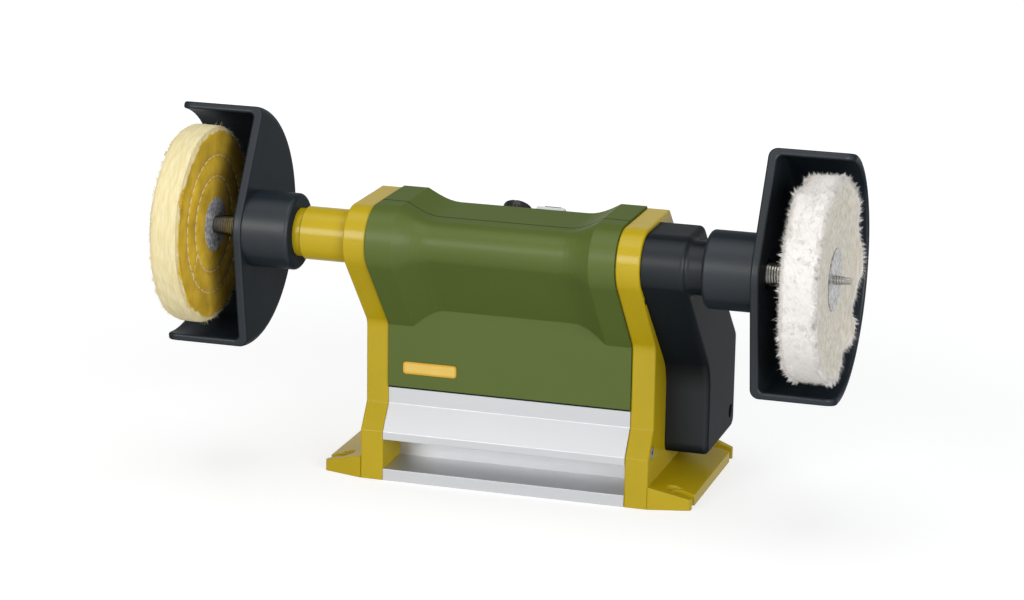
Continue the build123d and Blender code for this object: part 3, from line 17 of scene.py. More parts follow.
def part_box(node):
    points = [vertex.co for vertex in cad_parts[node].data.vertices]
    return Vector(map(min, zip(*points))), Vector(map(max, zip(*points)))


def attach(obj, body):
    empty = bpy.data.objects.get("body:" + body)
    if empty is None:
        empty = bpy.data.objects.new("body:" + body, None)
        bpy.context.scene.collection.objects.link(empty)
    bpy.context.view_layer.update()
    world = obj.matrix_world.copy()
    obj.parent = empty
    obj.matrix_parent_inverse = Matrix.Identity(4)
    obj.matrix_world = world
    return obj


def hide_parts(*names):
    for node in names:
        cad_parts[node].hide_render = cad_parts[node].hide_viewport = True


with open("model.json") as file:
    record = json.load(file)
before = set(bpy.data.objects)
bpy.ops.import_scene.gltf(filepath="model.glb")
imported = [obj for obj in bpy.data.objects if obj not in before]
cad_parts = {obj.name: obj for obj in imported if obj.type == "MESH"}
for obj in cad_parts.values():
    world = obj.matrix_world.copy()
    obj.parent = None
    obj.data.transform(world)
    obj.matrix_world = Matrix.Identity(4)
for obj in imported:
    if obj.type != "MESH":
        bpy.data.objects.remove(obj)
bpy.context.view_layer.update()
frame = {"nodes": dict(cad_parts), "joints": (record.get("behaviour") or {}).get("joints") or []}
nodes = frame["nodes"]
joints = {joint["name"]: joint for joint in frame["joints"]}
scene = bpy.context.scene

# %% [markdown]
# ## Camera
# The photo was taken with a long lens from the right, a little above the machine. A camera can be turned by
# eye until the picture looks alike, but small faults stay hidden that way. So the camera's place and axes
# were fitted to points of the photo and are written here as numbers: the render can be laid over it.

# %% Camera
CAMERA_PLACE = Vector((0.44056, -1.49261, 0.50484))
CAMERA_RIGHT = Vector((0.95568, 0.29402, 0.01567))
CAMERA_UP = Vector((-0.09073, 0.24344, 0.96566))
LENS_MM = 111.55
SENSOR_MM = 36


def set_down(place, *axes):
    """Matrix that puts a thing at a place, with its own x, y and z along the three axes."""
    return Matrix.Translation(place) @ Matrix(axes).transposed().to_4x4()


camera_data = bpy.data.cameras.new("photo_camera")
camera_data.sensor_fit = "HORIZONTAL"
camera_data.sensor_width = SENSOR_MM
camera_data.lens = LENS_MM
camera = bpy.data.objects.new("photo_camera", camera_data)
scene.collection.objects.link(camera)
camera.matrix_world = set_down(CAMERA_PLACE, CAMERA_RIGHT, CAMERA_UP, CAMERA_RIGHT.cross(CAMERA_UP))
scene.camera = camera
print("camera", [round(c, 3) for c in camera.location])

# %% [markdown]
# ## Colours and nodes
# Colours are written as sRGB hex values, the way a colour picker shows them, and turned to linear light
# for the shader. One small function adds a node, sets it and links it, so that each material reads as a
# list of what feeds what.


# %% Helpers for colours and nodes
def linear(hex_code):
    """Linear red, green, blue and alpha of an sRGB hex value."""
    channels = [int(hex_code[start:start + 2], 16) / 255 for start in (1, 3, 5)]
    return [c / 12.92 if c <= 0.04045 else ((c + 0.055) / 1.055) ** 2.4 for c in channels] + [1.0]


def add(owner, kind, values=None, links=None, **settings):
    """A new node: values by socket, links as (node, output), and the node's own settings."""
    tree = owner.node_tree
    node = tree.nodes.new(kind)
    for name, value in settings.items():
        setattr(node, name, value)
    for name, value in (values or {}).items():
        node.inputs[name].default_value = value
    for name, (source, output) in (links or {}).items():
        tree.links.new(source.outputs[output], node.inputs[name])
    return node


def feed(owner, source, output, target, socket):
    """Link a node's output to a socket of a node that is already there."""
    owner.node_tree.links.new(source.outputs[output], target.inputs[socket])


def start_material(name):
    """A new material and its shader."""
    material = bpy.data.materials.new(name)
    material.use_nodes = True
    return material, material.node_tree.nodes["Principled BSDF"]


# %% [markdown]
# ## One recipe for most surfaces
# Most surfaces here share one recipe: a colour that drifts slowly between two tones, and a finer grain that
# shapes the relief and the gloss. Stretching the grain along one axis gives the lines of an extrusion, and
# stretching it along two gives the rings of a turned piece. Painted pictures would need every piece
# unwrapped first. Noise in a piece's own coordinates needs nothing, and its sizes are plain millimetres.

# %% Surface recipe
MM = 0.001
GRAIN_LOW, GRAIN_HIGH = 0.25, 0.75
GRAIN_BUMP = 0.6
GLOSS_SWING = 0.03
SQUARE_ON, EDGE_ON = 0.06, 0.42


def scale_for(size_mm):
    """Scale of a pattern whose spots are about that wide."""
    return 1000 / size_mm


def surface(name, light, dark, drift_mm, grain_mm, relief_mm, roughness, stretch=(1, 1, 1), mirror=None,
            edge_mm=0.0, contrast=1.0, **sockets):
    """A material that drifts between two tones, with a finer grain in its relief and its gloss.

    mirror gives the strength of the mirror layer seen square on and seen edge on, where they differ.
    edge_mm is how far light rolls round the edges, which no mould or die leaves quite sharp, and contrast
    is how hard the tones part.
    """
    material, shader = start_material(name)
    for socket, value in sockets.items():
        shader.inputs[socket.replace("_", " ")].default_value = value
    place = add(material, "ShaderNodeTexCoord")
    drift = add(material, "ShaderNodeTexNoise", {"Scale": scale_for(drift_mm), "Detail": 3.0},
                {"Vector": (place, "Object")})
    parted = add(material, "ShaderNodeMapRange",
                 {"From Min": 0.5 - 0.5 / contrast, "From Max": 0.5 + 0.5 / contrast}, {"Value": (drift, 0)})
    tone = add(material, "ShaderNodeMix", {6: linear(light), 7: linear(dark)}, {0: (parted, 0)},
               data_type="RGBA")
    lines = add(material, "ShaderNodeMapping", {"Scale": stretch}, {"Vector": (place, "Object")})
    grain = add(material, "ShaderNodeTexNoise", {"Scale": scale_for(grain_mm), "Detail": 2.0},
                {"Vector": (lines, 0)})
    gloss = add(material, "ShaderNodeMapRange",
                {"From Min": GRAIN_LOW, "From Max": GRAIN_HIGH,
                 "To Min": roughness - GLOSS_SWING, "To Max": roughness + GLOSS_SWING}, {"Value": (grain, 0)})
    bump = add(material, "ShaderNodeBump", {"Strength": GRAIN_BUMP, "Distance": relief_mm * MM},
               {"Height": (grain, 0)})
    if edge_mm:
        rolled = add(material, "ShaderNodeBevel", {"Radius": edge_mm * MM}, samples=6)
        feed(material, rolled, 0, bump, "Normal")
    feed(material, tone, 2, shader, "Base Color")
    feed(material, gloss, 0, shader, "Roughness")
    feed(material, bump, 0, shader, "Normal")
    if mirror:
        facing = add(material, "ShaderNodeLayerWeight", {"Blend": 0.5})
        level = add(material, "ShaderNodeMapRange",
                    {"From Min": SQUARE_ON, "From Max": EDGE_ON, "To Min": mirror[0], "To Max": mirror[1]},
                    {"Value": (facing, "Facing")})
        feed(material, level, 0, shader, "Specular IOR Level")
    return material


def coat(material, *names):
    """Put a material on CAD nodes."""
    for name in names:
        nodes[name].data.materials.clear()
        nodes[name].data.materials.append(material)
    print(material.name, "on", ", ".join(names))


# %% [markdown]
# ## Floor and light
# A catalogue photo like this is lit by large soft boxes on a white sweep. A broad lamp on the left shows as
# a band along the front of every round piece. One on the right, about as strong, reaches the faces of the
# wheels, and a weak one overhead evens out the tops. More light could bleach the floor, but it would bleach
# the machine too. So floor and world are told to look white to the camera and in reflections, and the floor
# keeps the real shadow that grounds the machine. Its glow also rises with distance from the machine: painted
# light that makes up for the lamps' fall-off, and a painted shade round the machine.

# %% Floor
FLOOR_SIZE = 8
GLOW_NEAR, GLOW_FAR = 0.66, 0.97
NEAR, FAR = 0.25, 1.1


def seen_rays(owner):
    """1 for rays to the camera, off metal and through glass, and 0 for the light that fills the room."""
    rays = add(owner, "ShaderNodeLightPath")
    direct = add(owner, "ShaderNodeMath", None, {0: (rays, "Is Camera Ray"), 1: (rays, "Is Glossy Ray")},
                 operation="MAXIMUM")
    return add(owner, "ShaderNodeMath", None, {0: (direct, 0), 1: (rays, "Is Transmission Ray")},
               operation="MAXIMUM")


bpy.ops.object.select_all(action="DESELECT")
bpy.ops.mesh.primitive_plane_add(size=FLOOR_SIZE)
floor = bpy.context.object
floor.name = "studio_floor"
paper, paper_shader = start_material("white_paper_sweep")
paper_shader.inputs["Roughness"].default_value = 0.9
paper_shader.inputs["Base Color"].default_value = linear("#D0D0D0")
paper_place = add(paper, "ShaderNodeTexCoord")
paper_reach = add(paper, "ShaderNodeVectorMath", None, {0: (paper_place, "Object")}, operation="LENGTH")
# Glow that grows with distance: painted light far out, painted shade near the machine.
glow_with_painted_shade = add(paper, "ShaderNodeMapRange",
                  {"From Min": NEAR, "From Max": FAR, "To Min": GLOW_NEAR, "To Max": GLOW_FAR},
                  {"Value": (paper_reach, "Value")})
glow = add(paper, "ShaderNodeEmission", {"Color": linear("#FFFFFF")}, {"Strength": (glow_with_painted_shade, 0)})
dim = add(paper, "ShaderNodeBsdfDiffuse", {"Color": linear("#B4B4B4")})
seen = add(paper, "ShaderNodeAddShader", None, {0: (glow, "Emission"), 1: (dim, "BSDF")})
sheet = add(paper, "ShaderNodeMixShader", None,
            {0: (seen_rays(paper), 0), 1: (paper_shader, "BSDF"), 2: (seen, 0)})
feed(paper, sheet, 0, paper.node_tree.nodes["Material Output"], "Surface")
floor.data.materials.append(paper)
print("floor", FLOOR_SIZE, "m square")

# %% World
world = bpy.data.worlds.new("studio_world")
world.use_nodes = True
scene.world = world
room = world.node_tree.nodes["Background"]
room.inputs["Color"].default_value = linear("#F4F7FA")
room.inputs["Strength"].default_value = 0.3
white = add(world, "ShaderNodeBackground", {"Color": linear("#FFFFFF"), "Strength": 1.0})
backdrop = add(world, "ShaderNodeMixShader", None, {0: (seen_rays(world), 0), 1: (room, 0), 2: (white, 0)})
feed(world, backdrop, 0, world.node_tree.nodes["World Output"], "Surface")
scene.view_settings.view_transform = "Standard"
print("world", world.name)

# %% Lamps
SOFT_BOXES = [
    ("left_box", (-0.7, -1.6, 0.72), (0, -0.05, 0.1), 1.0, 0.7, 12.5, "#FFFDF8"),
    ("right_box", (1.2, -1.18, 0.55), (-0.05, -0.05, 0.1), 0.9, 0.8, 15, "#F8FBFF"),
    ("top_box", (-0.1, -0.1, 1.6), (0, -0.05, 0.1), 1.2, 1.2, 8, "#FFFFFF"),
]
for name, place, aim, width, height, watts, colour in SOFT_BOXES:
    lamp_data = bpy.data.lights.new(name, "AREA")
    lamp_data.shape = "RECTANGLE"
    lamp_data.size = width
    lamp_data.size_y = height
    lamp_data.energy = watts
    lamp_data.color = linear(colour)[:3]
    lamp = bpy.data.objects.new(name, lamp_data)
    scene.collection.objects.link(lamp)
    lamp.location = place
    lamp.rotation_euler = (Vector(aim) - Vector(place)).to_track_quat("-Z", "Y").to_euler()
    print(name, watts, "W")

# %% [markdown]
# ## Coated castings
# The brackets and the spindle tube are die castings with a mustard powder coat. Baked powder flows into a
# glossy skin with a faint orange peel about 1.5 mm across, and it pales a little where it lies thin. The
# peel is far too shallow to model, so it is a relief in the material.

# %% Powder coat
powder = surface("mustard_powder_coat", "#C3A918", "#B3990D", 45, 1.5, 0.004, 0.2,
                 mirror=(0.36, 0.03), edge_mm=0.6)
coat(powder, "left_bracket", "right_bracket", "left_spindle_tube")

# %% [markdown]
# ## Moulded plastic
# The hood is green ABS and the cover and the guards are dark glass-filled nylon. Both come out of
# spark-eroded moulds with a fine grain. The real grain is near 0.2 mm, too fine for this render, so it is
# drawn about twice as coarse. Seen edge on, such a grained skin hides its own mirror layer, so its gloss
# fades there instead of growing as it would on a polished piece.

# %% Green ABS
green = surface("green_abs_satin", "#5C6B34", "#55632E", 60, 0.5, 0.006, 0.37,
                mirror=(0.19, 0.004), edge_mm=0.6, IOR=1.53)
coat(green, "front_shell", "rear_shell")

# %% Dark nylon
# The guards' copy of the nylon is painted a little lighter, to lift the shade inside them.
guard_nylon_painted_lighter = surface("dark_nylon_painted_lighter", "#262C32", "#1F252A", 30, 0.5, 0.006, 0.38,
                mirror=(0.32, 0.01), edge_mm=0.5, IOR=1.53)
coat(guard_nylon_painted_lighter, "left_guard", "right_guard")
# The cover's copy of the same nylon, with the same grain, is painted darker as painted shade on its lit side,
# and has a weaker mirror layer.
cover_nylon_painted_darker = surface("dark_nylon_painted_darker", "#1B2024", "#161A1E", 30, 0.5, 0.006, 0.4,
                      mirror=(0.26, 0.01), edge_mm=0.5, IOR=1.53)
coat(cover_nylon_painted_darker, "belt_cover", "cable_gland")

# %% [markdown]
# ## Metals
# The chassis is an aluminium extrusion: the die leaves hairlines along its length, and anodising leaves it
# pale and satin. The spindle and the shafts are turned, so their fine rings run round the axis. Screws and
# clips are zinc plated. The wheels' discs are pressed sheet: the left pair is phosphated, matt and
# blotched, and the right pair is zinc, crumpled by use.

# %% Aluminium, steel and zinc
extrusion = surface("anodised_extruded_aluminium", "#CDCED1", "#C5C6C9", 80, 0.6, 0.006, 0.4,
                    stretch=(0.01, 1, 1), edge_mm=0.4, Metallic=0.8)
coat(extrusion, "chassis")
turned_steel = surface("turned_steel", "#B4B1AA", "#7A7771", 6, 0.7, 0.01, 0.32, stretch=(1, 0.02, 0.02),
                       Metallic=1.0)
coat(turned_steel, "spindle", "motor_shaft", "potentiometer_shaft")
zinc = surface("zinc_plated_steel", "#A4A7AB", "#8B8F95", 3, 0.8, 0.02, 0.34, Metallic=1.0)
coat(zinc, "frame_screws", "hood_screws", "cover_screws", "motor_screws", "left_guard_screw",
     "right_guard_screw", "potentiometer_nut", "spindle_circlips")

# %% Discs of the wheels
dark_disc = surface("matt_phosphated_disc", "#F4F4F6", "#55545A", 1.6, 1.0, 0.12, 0.6, contrast=1.8,
                    Metallic=0.1)
coat(dark_disc, "left_wheel_discs")
pale_disc = surface("crumpled_zinc_disc", "#CFCECD", "#59585C", 2.4, 3.0, 0.7, 0.36, contrast=1.6,
                    Metallic=0.85)
coat(pale_disc, "right_wheel_discs")

# %% [markdown]
# ## Inside the machine
# These pieces are hidden under the hood and the cover, but a part in a library can be opened. Each gets
# the finish of its trade: a drawn can, a cast bell, a stack of laminations, sintered magnets and bushes,
# lacquered wire, pressed carbon, turned pulleys, a rubber belt, ground bearing rings and a circuit board
# under a green lacquer. One table holds them all, because they differ only in numbers.

# %% Finishes of the inner pieces
EVEN, ALONG, ROUND = (1, 1, 1), (0.1, 1, 1), (1, 0.02, 0.02)
INNER_FINISHES = [
    ("zinc_drawn_can", "#A2A5A8", "#8C9094", 12, 1.2, 0.02, 0.38, ALONG, 1.0, ["motor_can"]),
    ("as_cast_aluminium", "#B9BABB", "#A0A2A4", 5, 0.8, 0.06, 0.5, EVEN, 1.0, ["motor_end_bell"]),
    ("laminated_iron", "#5A5B5E", "#3B3C3F", 4, 0.7, 0.05, 0.45, (1, 0.01, 0.01), 1.0, ["motor_armature"]),
    ("sintered_ferrite", "#3A3A3C", "#2B2B2D", 3, 0.6, 0.04, 0.65, EVEN, 0.0, ["motor_magnets"]),
    ("lacquered_copper_wire", "#B5652E", "#8E4A1E", 3, 0.6, 0.15, 0.3, (0.05, 1, 1), 1.0, ["motor_windings"]),
    ("turned_copper", "#C0733F", "#A5602F", 3, 0.5, 0.02, 0.3, ROUND, 1.0, ["motor_commutator"]),
    ("sintered_bronze", "#B08A4A", "#94713A", 2, 0.5, 0.04, 0.5, EVEN, 1.0, ["motor_bearings"]),
    ("pressed_carbon", "#242424", "#181818", 2, 0.5, 0.04, 0.6, EVEN, 0.0, ["motor_brushes"]),
    ("moulded_cap_plastic", "#2C2C2E", "#222224", 20, 0.5, 0.03, 0.45, EVEN, 0.0, ["motor_brush_cap"]),
    ("turned_aluminium", "#CBCDD0", "#B5B8BC", 4, 0.6, 0.02, 0.32, ROUND, 1.0,
     ["motor_pulley", "spindle_pulley"]),
    ("ribbed_rubber", "#1B1B1B", "#121212", 6, 0.6, 0.05, 0.7, EVEN, 0.0, ["drive_belt"]),
    ("ground_bearing_steel", "#B9BABA", "#A3A4A5", 5, 0.5, 0.01, 0.25, ROUND, 1.0,
     ["bearing_outer_rings", "bearing_inner_rings"]),
    ("stamped_steel_case", "#A9A8A2", "#94938D", 6, 0.8, 0.02, 0.35, EVEN, 1.0, ["potentiometer"]),
    ("lacquered_circuit_board", "#1F5B39", "#174A2D", 4, 0.8, 0.04, 0.35, EVEN, 0.0, ["control_board"]),
]
for name, light, dark, drift, grain, relief, rough, stretch, metallic, owners in INNER_FINISHES:
    coat(surface(name, light, dark, drift, grain, relief, rough, stretch=stretch, Metallic=metallic), *owners)

# %% [markdown]
# ## Knob and switch
# The knob is moulded in black phenolic with a gloss that shows the white room, the switch's rim in light
# grey ABS, and its rocker in glossy black. Their moulds are polished, so they have next to no grain.

# %% Knob, switch rim and rocker
knob_gloss = surface("black_phenolic_gloss", "#17181A", "#101113", 8, 0.5, 0.01, 0.22, mirror=(0.4, 0.06))
coat(knob_gloss, "speed_knob")
coat(surface("light_grey_abs_gloss", "#C9CCCE", "#BDC1C4", 15, 0.5, 0.01, 0.25), "switch_housing")
coat(surface("black_abs_gloss", "#131315", "#0E0E10", 8, 0.5, 0.01, 0.2), "rocker")
print("materials", len(bpy.data.materials))

# %% [markdown]
# ## Modelling helpers
# Pieces are modelled the way they would be by hand: a primitive at its size and place, faces chosen in
# edit mode, then inset, bevel, extrude or bisect. What CAD can't have, such as the waves of cloth, is
# pushed in vertex by vertex at the end.

# %% Helpers for modelling
FACING = 0.9


def bar(middle, size):
    """A block at its place and size, selected alone."""
    bpy.ops.object.select_all(action="DESELECT")
    bpy.ops.mesh.primitive_cube_add(size=1, location=middle, scale=size)
    bpy.ops.object.transform_apply(location=True, rotation=True, scale=True)
    return bpy.context.object


def edit_faces(piece, chosen):
    """Edit mode on the piece, with the faces selected that the test picks."""
    bpy.ops.object.mode_set(mode="EDIT")
    bpy.ops.mesh.select_mode(type="FACE")
    bpy.ops.mesh.select_all(action="DESELECT")
    bpy.ops.object.mode_set(mode="OBJECT")
    for face in piece.data.polygons:
        face.select = chosen(face)
    bpy.ops.object.mode_set(mode="EDIT")


def cut_across(places):
    """Cuts square to the x axis through all of the piece in edit mode."""
    for x in places:
        bpy.ops.mesh.select_all(action="SELECT")
        bpy.ops.mesh.bisect(plane_co=(x, 0, 0), plane_no=(1, 0, 0))


def settle(piece, name, material, body):
    """Object mode, doubles merged, normals outward, at the origin, coated, and riding its body."""
    bpy.ops.object.mode_set(mode="EDIT")
    bpy.ops.mesh.select_all(action="SELECT")
    bpy.ops.mesh.remove_doubles(threshold=1e-6)
    bpy.ops.mesh.normals_make_consistent(inside=False)
    bpy.ops.object.mode_set(mode="OBJECT")
    bpy.ops.object.transform_apply(location=True, rotation=True, scale=True)
    piece.name = name
    piece.data.name = name
    piece.data.materials.append(material)
    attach(piece, body)
    print(name, "faces", len(piece.data.polygons))


# %% [markdown]
# ## Threads
# Each end of the spindle is a tapered screw, so that a wheel pulls itself tight as it is pushed on. Rings
# stacked on the cone would look alike from afar, but a screw has one ridge that climbs. So a triangle is
# swept round the axis by a Screw modifier, one turn every 1.25 mm, and then drawn down onto the cone. The
# two ends are mirror images, because both wheels have to tighten as the spindle turns.

# %% Tapered threads
AXIS = Vector(joints["spindle_spin"]["pos_m"])
TIP_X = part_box("spindle")[1].x
TAPER_X = 0.1340
TAPER_RADIUS = 0.0055
TIP_RADIUS = 0.0015
THREAD_START = TAPER_X - 0.0005
THREAD_PITCH = 0.00125
THREAD_TURNS = 31
THREAD_STEPS = 28
THREAD_RIDGE = 0.00048
RUN_OUT = 0.06
RUN_OUT_SUNK = 0.4


def swept_ridge(way):
    """A triangle swept along a straight screw, its ends closed."""
    bpy.ops.object.select_all(action="DESELECT")
    bpy.ops.mesh.primitive_circle_add(vertices=3, radius=THREAD_RIDGE, rotation=(math.pi / 2, 0, 0))
    thread = bpy.context.object
    bpy.ops.object.transform_apply(location=False, rotation=True, scale=True)
    bpy.ops.object.mode_set(mode="EDIT")
    bpy.ops.mesh.select_all(action="SELECT")
    bpy.ops.transform.translate(value=(way * THREAD_START, 0, TAPER_RADIUS))
    bpy.ops.object.mode_set(mode="OBJECT")
    sweep = thread.modifiers.new("turns", "SCREW")
    sweep.axis = "X"
    sweep.screw_offset = way * THREAD_PITCH
    sweep.iterations = THREAD_TURNS
    sweep.steps = sweep.render_steps = THREAD_STEPS
    sweep.use_smooth_shade = False
    bpy.ops.object.modifier_apply(modifier=sweep.name)
    bpy.ops.object.mode_set(mode="EDIT")
    bpy.ops.mesh.select_all(action="SELECT")
    bpy.ops.mesh.fill_holes(sides=3)
    bpy.ops.object.mode_set(mode="OBJECT")
    return thread


def draw_onto_cone(thread):
    """Bring each corner down onto the taper. At both ends the ridge runs out under its skin."""
    length = THREAD_PITCH * THREAD_TURNS
    for vertex in thread.data.vertices:
        across = Vector((0, vertex.co.y, vertex.co.z))
        along = (abs(vertex.co.x) - THREAD_START) / length
        fade = max(0.0, min(1.0, along / RUN_OUT, (1 - along) / RUN_OUT))
        share = (abs(vertex.co.x) - TAPER_X) / (TIP_X - TAPER_X)
        cone = TAPER_RADIUS + (TIP_RADIUS - TAPER_RADIUS) * share
        height = (across.length - TAPER_RADIUS) * fade * cone / TAPER_RADIUS
        height -= THREAD_RIDGE * RUN_OUT_SUNK * (1 - fade)
        across = across.normalized() * (cone + height)
        vertex.co = Vector((vertex.co.x, across.y + AXIS.y, across.z + AXIS.z))


for side, way in (("left", -1), ("right", 1)):
    ridge = swept_ridge(way)
    draw_onto_cone(ridge)
    settle(ridge, side + "_thread", turned_steel, "spindle")

# %% [markdown]
# ## The muslin wheel
# The left wheel is a stack of muslin discs, sewn through with one thread that runs a turn near the middle,
# steps outward and runs a second turn. Stitches pull the cloth in, and between them it stands up in soft
# rolls. The cloth was dipped in yellow dressing, but the cut rim shows its pale fibres. A cloth simulation
# would let so stiff a stack go slack. So the slab starts as a cylinder: insets give the faces their rings,
# bisects give the rim its plies, and dents and rolls are pushed in afterwards.

# %% Cloth wheel slab
ROUND_PER_RADIUS = 6.3


def cloth_slab(node, sides, insets, plies):
    """A cylinder in a wheel's place with ringed faces and a rim in plies, its middle and half its width."""
    low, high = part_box(node)
    middle = (low + high) / 2
    bpy.ops.object.select_all(action="DESELECT")
    bpy.ops.mesh.primitive_cylinder_add(vertices=sides, radius=(high.z - low.z) / 2, depth=high.x - low.x,
                                        location=middle, rotation=(0, math.pi / 2, 0))
    slab = bpy.context.object
    bpy.ops.object.transform_apply(location=True, rotation=True, scale=True)
    edit_faces(slab, lambda face: abs(face.normal.x) > FACING)
    for step in insets:
        bpy.ops.mesh.inset(thickness=step * MM, depth=0, use_individual=True)
    cut_across(low.x + (high.x - low.x) * ply / plies for ply in range(1, plies))
    bpy.ops.object.mode_set(mode="OBJECT")
    return slab, middle, (high.x - low.x) / 2


def polar(point):
    """Radius and angle of a point about the spindle, the angle from +Y towards +Z."""
    return math.hypot(point.y - AXIS.y, point.z - AXIS.z), math.atan2(point.z - AXIS.z, point.y - AXIS.y)


def on_wheel(x, radius, angle):
    """The point at that radius and angle about the spindle."""
    return Vector((x, AXIS.y + radius * math.cos(angle), AXIS.z + radius * math.sin(angle)))


def ripple(angle, waves, seed, across=0.0):
    """Smooth noise round the wheel, with about that many waves in a turn."""
    ring = waves / ROUND_PER_RADIUS
    return noise.noise(Vector((math.cos(angle) * ring, math.sin(angle) * ring + across, seed)))


def past(value, start):
    """0 up to the start, then an even rise to 1 at 1."""
    return max(0.0, (value - start) / (1 - start))


# %% [markdown]
# ## The stitch line
# The stitch line is written once as radius by angle: the thread makes the inner turn, crosses outward in a
# short slope at the lower left, and makes the outer turn. The same line places the dents and the stitches,
# so that a stitch always lies in its dent.

# %% Stitch line
INNER_TURN = 0.024
OUTER_TURN = 0.0345
CROSSING_START = math.radians(204)
CROSSING = math.radians(14)


def crossing_radius(share):
    """Radius on the slope between the turns, eased at both ends."""
    ease = share * share * (3 - 2 * share)
    return INNER_TURN + (OUTER_TURN - INNER_TURN) * ease


def stitch_radii(angle):
    """All radii at which the thread passes that angle."""
    share = ((angle - CROSSING_START) % math.tau) / CROSSING
    return [INNER_TURN, OUTER_TURN] + ([crossing_radius(share)] if share < 1 else [])


# %% Muslin wheel
WHEEL_RADIUS = 0.05
HUB_RADIUS = 0.005
ON_FACE = 0.99
MUSLIN_INSETS = [0.7, 0.9, 1.2, 1.6, 2.2, 2.6, 2.4, 1.6, 1.2, 1.1, 1.2, 1.6, 2.0, 2.0, 1.6, 1.2, 1.1, 1.2,
                 1.6, 2.4, 3.2, 4.0]
MUSLIN_RIM_MM = 49.3
MUSLIN_FLAT = 0.0465
SHOULDER, SHOULDER_MM = 0.7, 1.6
PLY_MM, PLIES_SEEN = 0.12, 7
STITCH_DENT = 0.0009
STITCH_WIDTH = 0.0015
FACE_STANDS_MM, ROLLS_MM = 0.35, 0.6
EDGE_START, EDGE_DROP = 0.93, 0.0012
WAVE_START, WAVE_MM = 0.72, 0.5


def muslin_rim(angle, across):
    """Radius of the rim at that angle and place across it, -1 to 1: ragged, in plies and rounded off."""
    ragged = 0.35 * ripple(angle, 40, 2.0, across) + 0.12 * ripple(angle, 130, 5.0, 3 * across)
    ply = PLY_MM * math.cos(across * math.pi * PLIES_SEEN)
    return (MUSLIN_RIM_MM + ragged + ply - SHOULDER_MM * past(abs(across), SHOULDER)) * MM


muslin, muslin_middle, muslin_half = cloth_slab("left_wheel", 216, MUSLIN_INSETS, 16)
for vertex in muslin.data.vertices:
    radius, angle = polar(vertex.co)
    across = (vertex.co.x - muslin_middle.x) / muslin_half
    reach = radius / WHEEL_RADIUS
    new_radius = radius if radius < MUSLIN_FLAT else radius - WHEEL_RADIUS + muslin_rim(angle, across)
    out = 0.0
    if abs(across) > ON_FACE and radius > HUB_RADIUS:
        dent = sum(math.exp(-((radius - turn) / STITCH_WIDTH) ** 2) for turn in stitch_radii(angle))
        rolls = 0.45 * ripple(angle, 24, 9.0, radius * 150) + 0.2 * ripple(angle, 70, 3.0, radius * 400)
        out = (FACE_STANDS_MM + ROLLS_MM * rolls * reach) * MM - STITCH_DENT * min(dent, 1.0)
        out -= EDGE_DROP * past(reach, EDGE_START) ** 2
    wave = WAVE_MM * MM * ripple(angle, 14, 7.0) * past(reach, WAVE_START)
    new_x = vertex.co.x + math.copysign(1, across) * out + wave
    vertex.co = on_wheel(new_x, new_radius, angle)
print("muslin slab", len(muslin.data.vertices), "points")

# %% [markdown]
# ## Cloth
# One material covers face and rim. Distance from the axis tells them apart, and noise frays the border
# between them. The face has a plain weave: real yarns are 0.5 mm apart, drawn here at 0.9 mm so that they
# show. Dressing darkens it in blotches. Where cloth is brushed, a nap hides the weave, and the face darkens
# in streaks along the nap: partly the nap's own tone, partly painted shade of its creases. Nap and cut ends
# are combed by the turning wheel, so their grain is drawn out round the axis and thin across it. A woven
# pattern on a UV map would bend with the rings of the mesh, so all of this lies in Object coordinates.

# %% Places on a cloth wheel
FRINGE_MM = 7.0


def wheel_places(material, comb_mm):
    """Object coordinates, the distance from the spindle, and coordinates drawn out round the spindle."""
    place = add(material, "ShaderNodeTexCoord")
    flat = add(material, "ShaderNodeMapping", {"Location": (0, -AXIS.y, -AXIS.z), "Scale": (0, 1, 1)},
               {"Vector": (place, "Object")})
    reach = add(material, "ShaderNodeVectorMath", None, {0: (flat, 0)}, operation="LENGTH")
    way = add(material, "ShaderNodeVectorMath", None, {0: (flat, 0)}, operation="NORMALIZE")
    spot = add(material, "ShaderNodeSeparateXYZ", None, {0: (place, "Object")})
    depth = add(material, "ShaderNodeMath", None, {0: (spot, "X"), 1: (reach, "Value")}, operation="ADD")
    across = add(material, "ShaderNodeCombineXYZ", None, {"X": (depth, 0)})
    combed = add(material, "ShaderNodeVectorMath", {1: (comb_mm * MM,) * 3},
                 {0: (way, 0), 2: (across, 0)}, operation="MULTIPLY_ADD")
    return place, reach, combed


def rim_share(material, place, reach, border_mm, blend_mm):
    """0 on the face and 1 on the rim, with noise that frays the border by some millimetres."""
    fringe = add(material, "ShaderNodeTexNoise", {"Scale": scale_for(10), "Detail": 6.0},
                 {"Vector": (place, "Object")})
    shifted = add(material, "ShaderNodeMath", {1: FRINGE_MM * MM}, {0: (fringe, 0), 2: (reach, "Value")},
                  operation="MULTIPLY_ADD")
    border = border_mm + FRINGE_MM / 2
    return add(material, "ShaderNodeMapRange",
               {"From Min": (border - blend_mm / 2) * MM, "From Max": (border + blend_mm / 2) * MM},
               {"Value": (shifted, 0)})


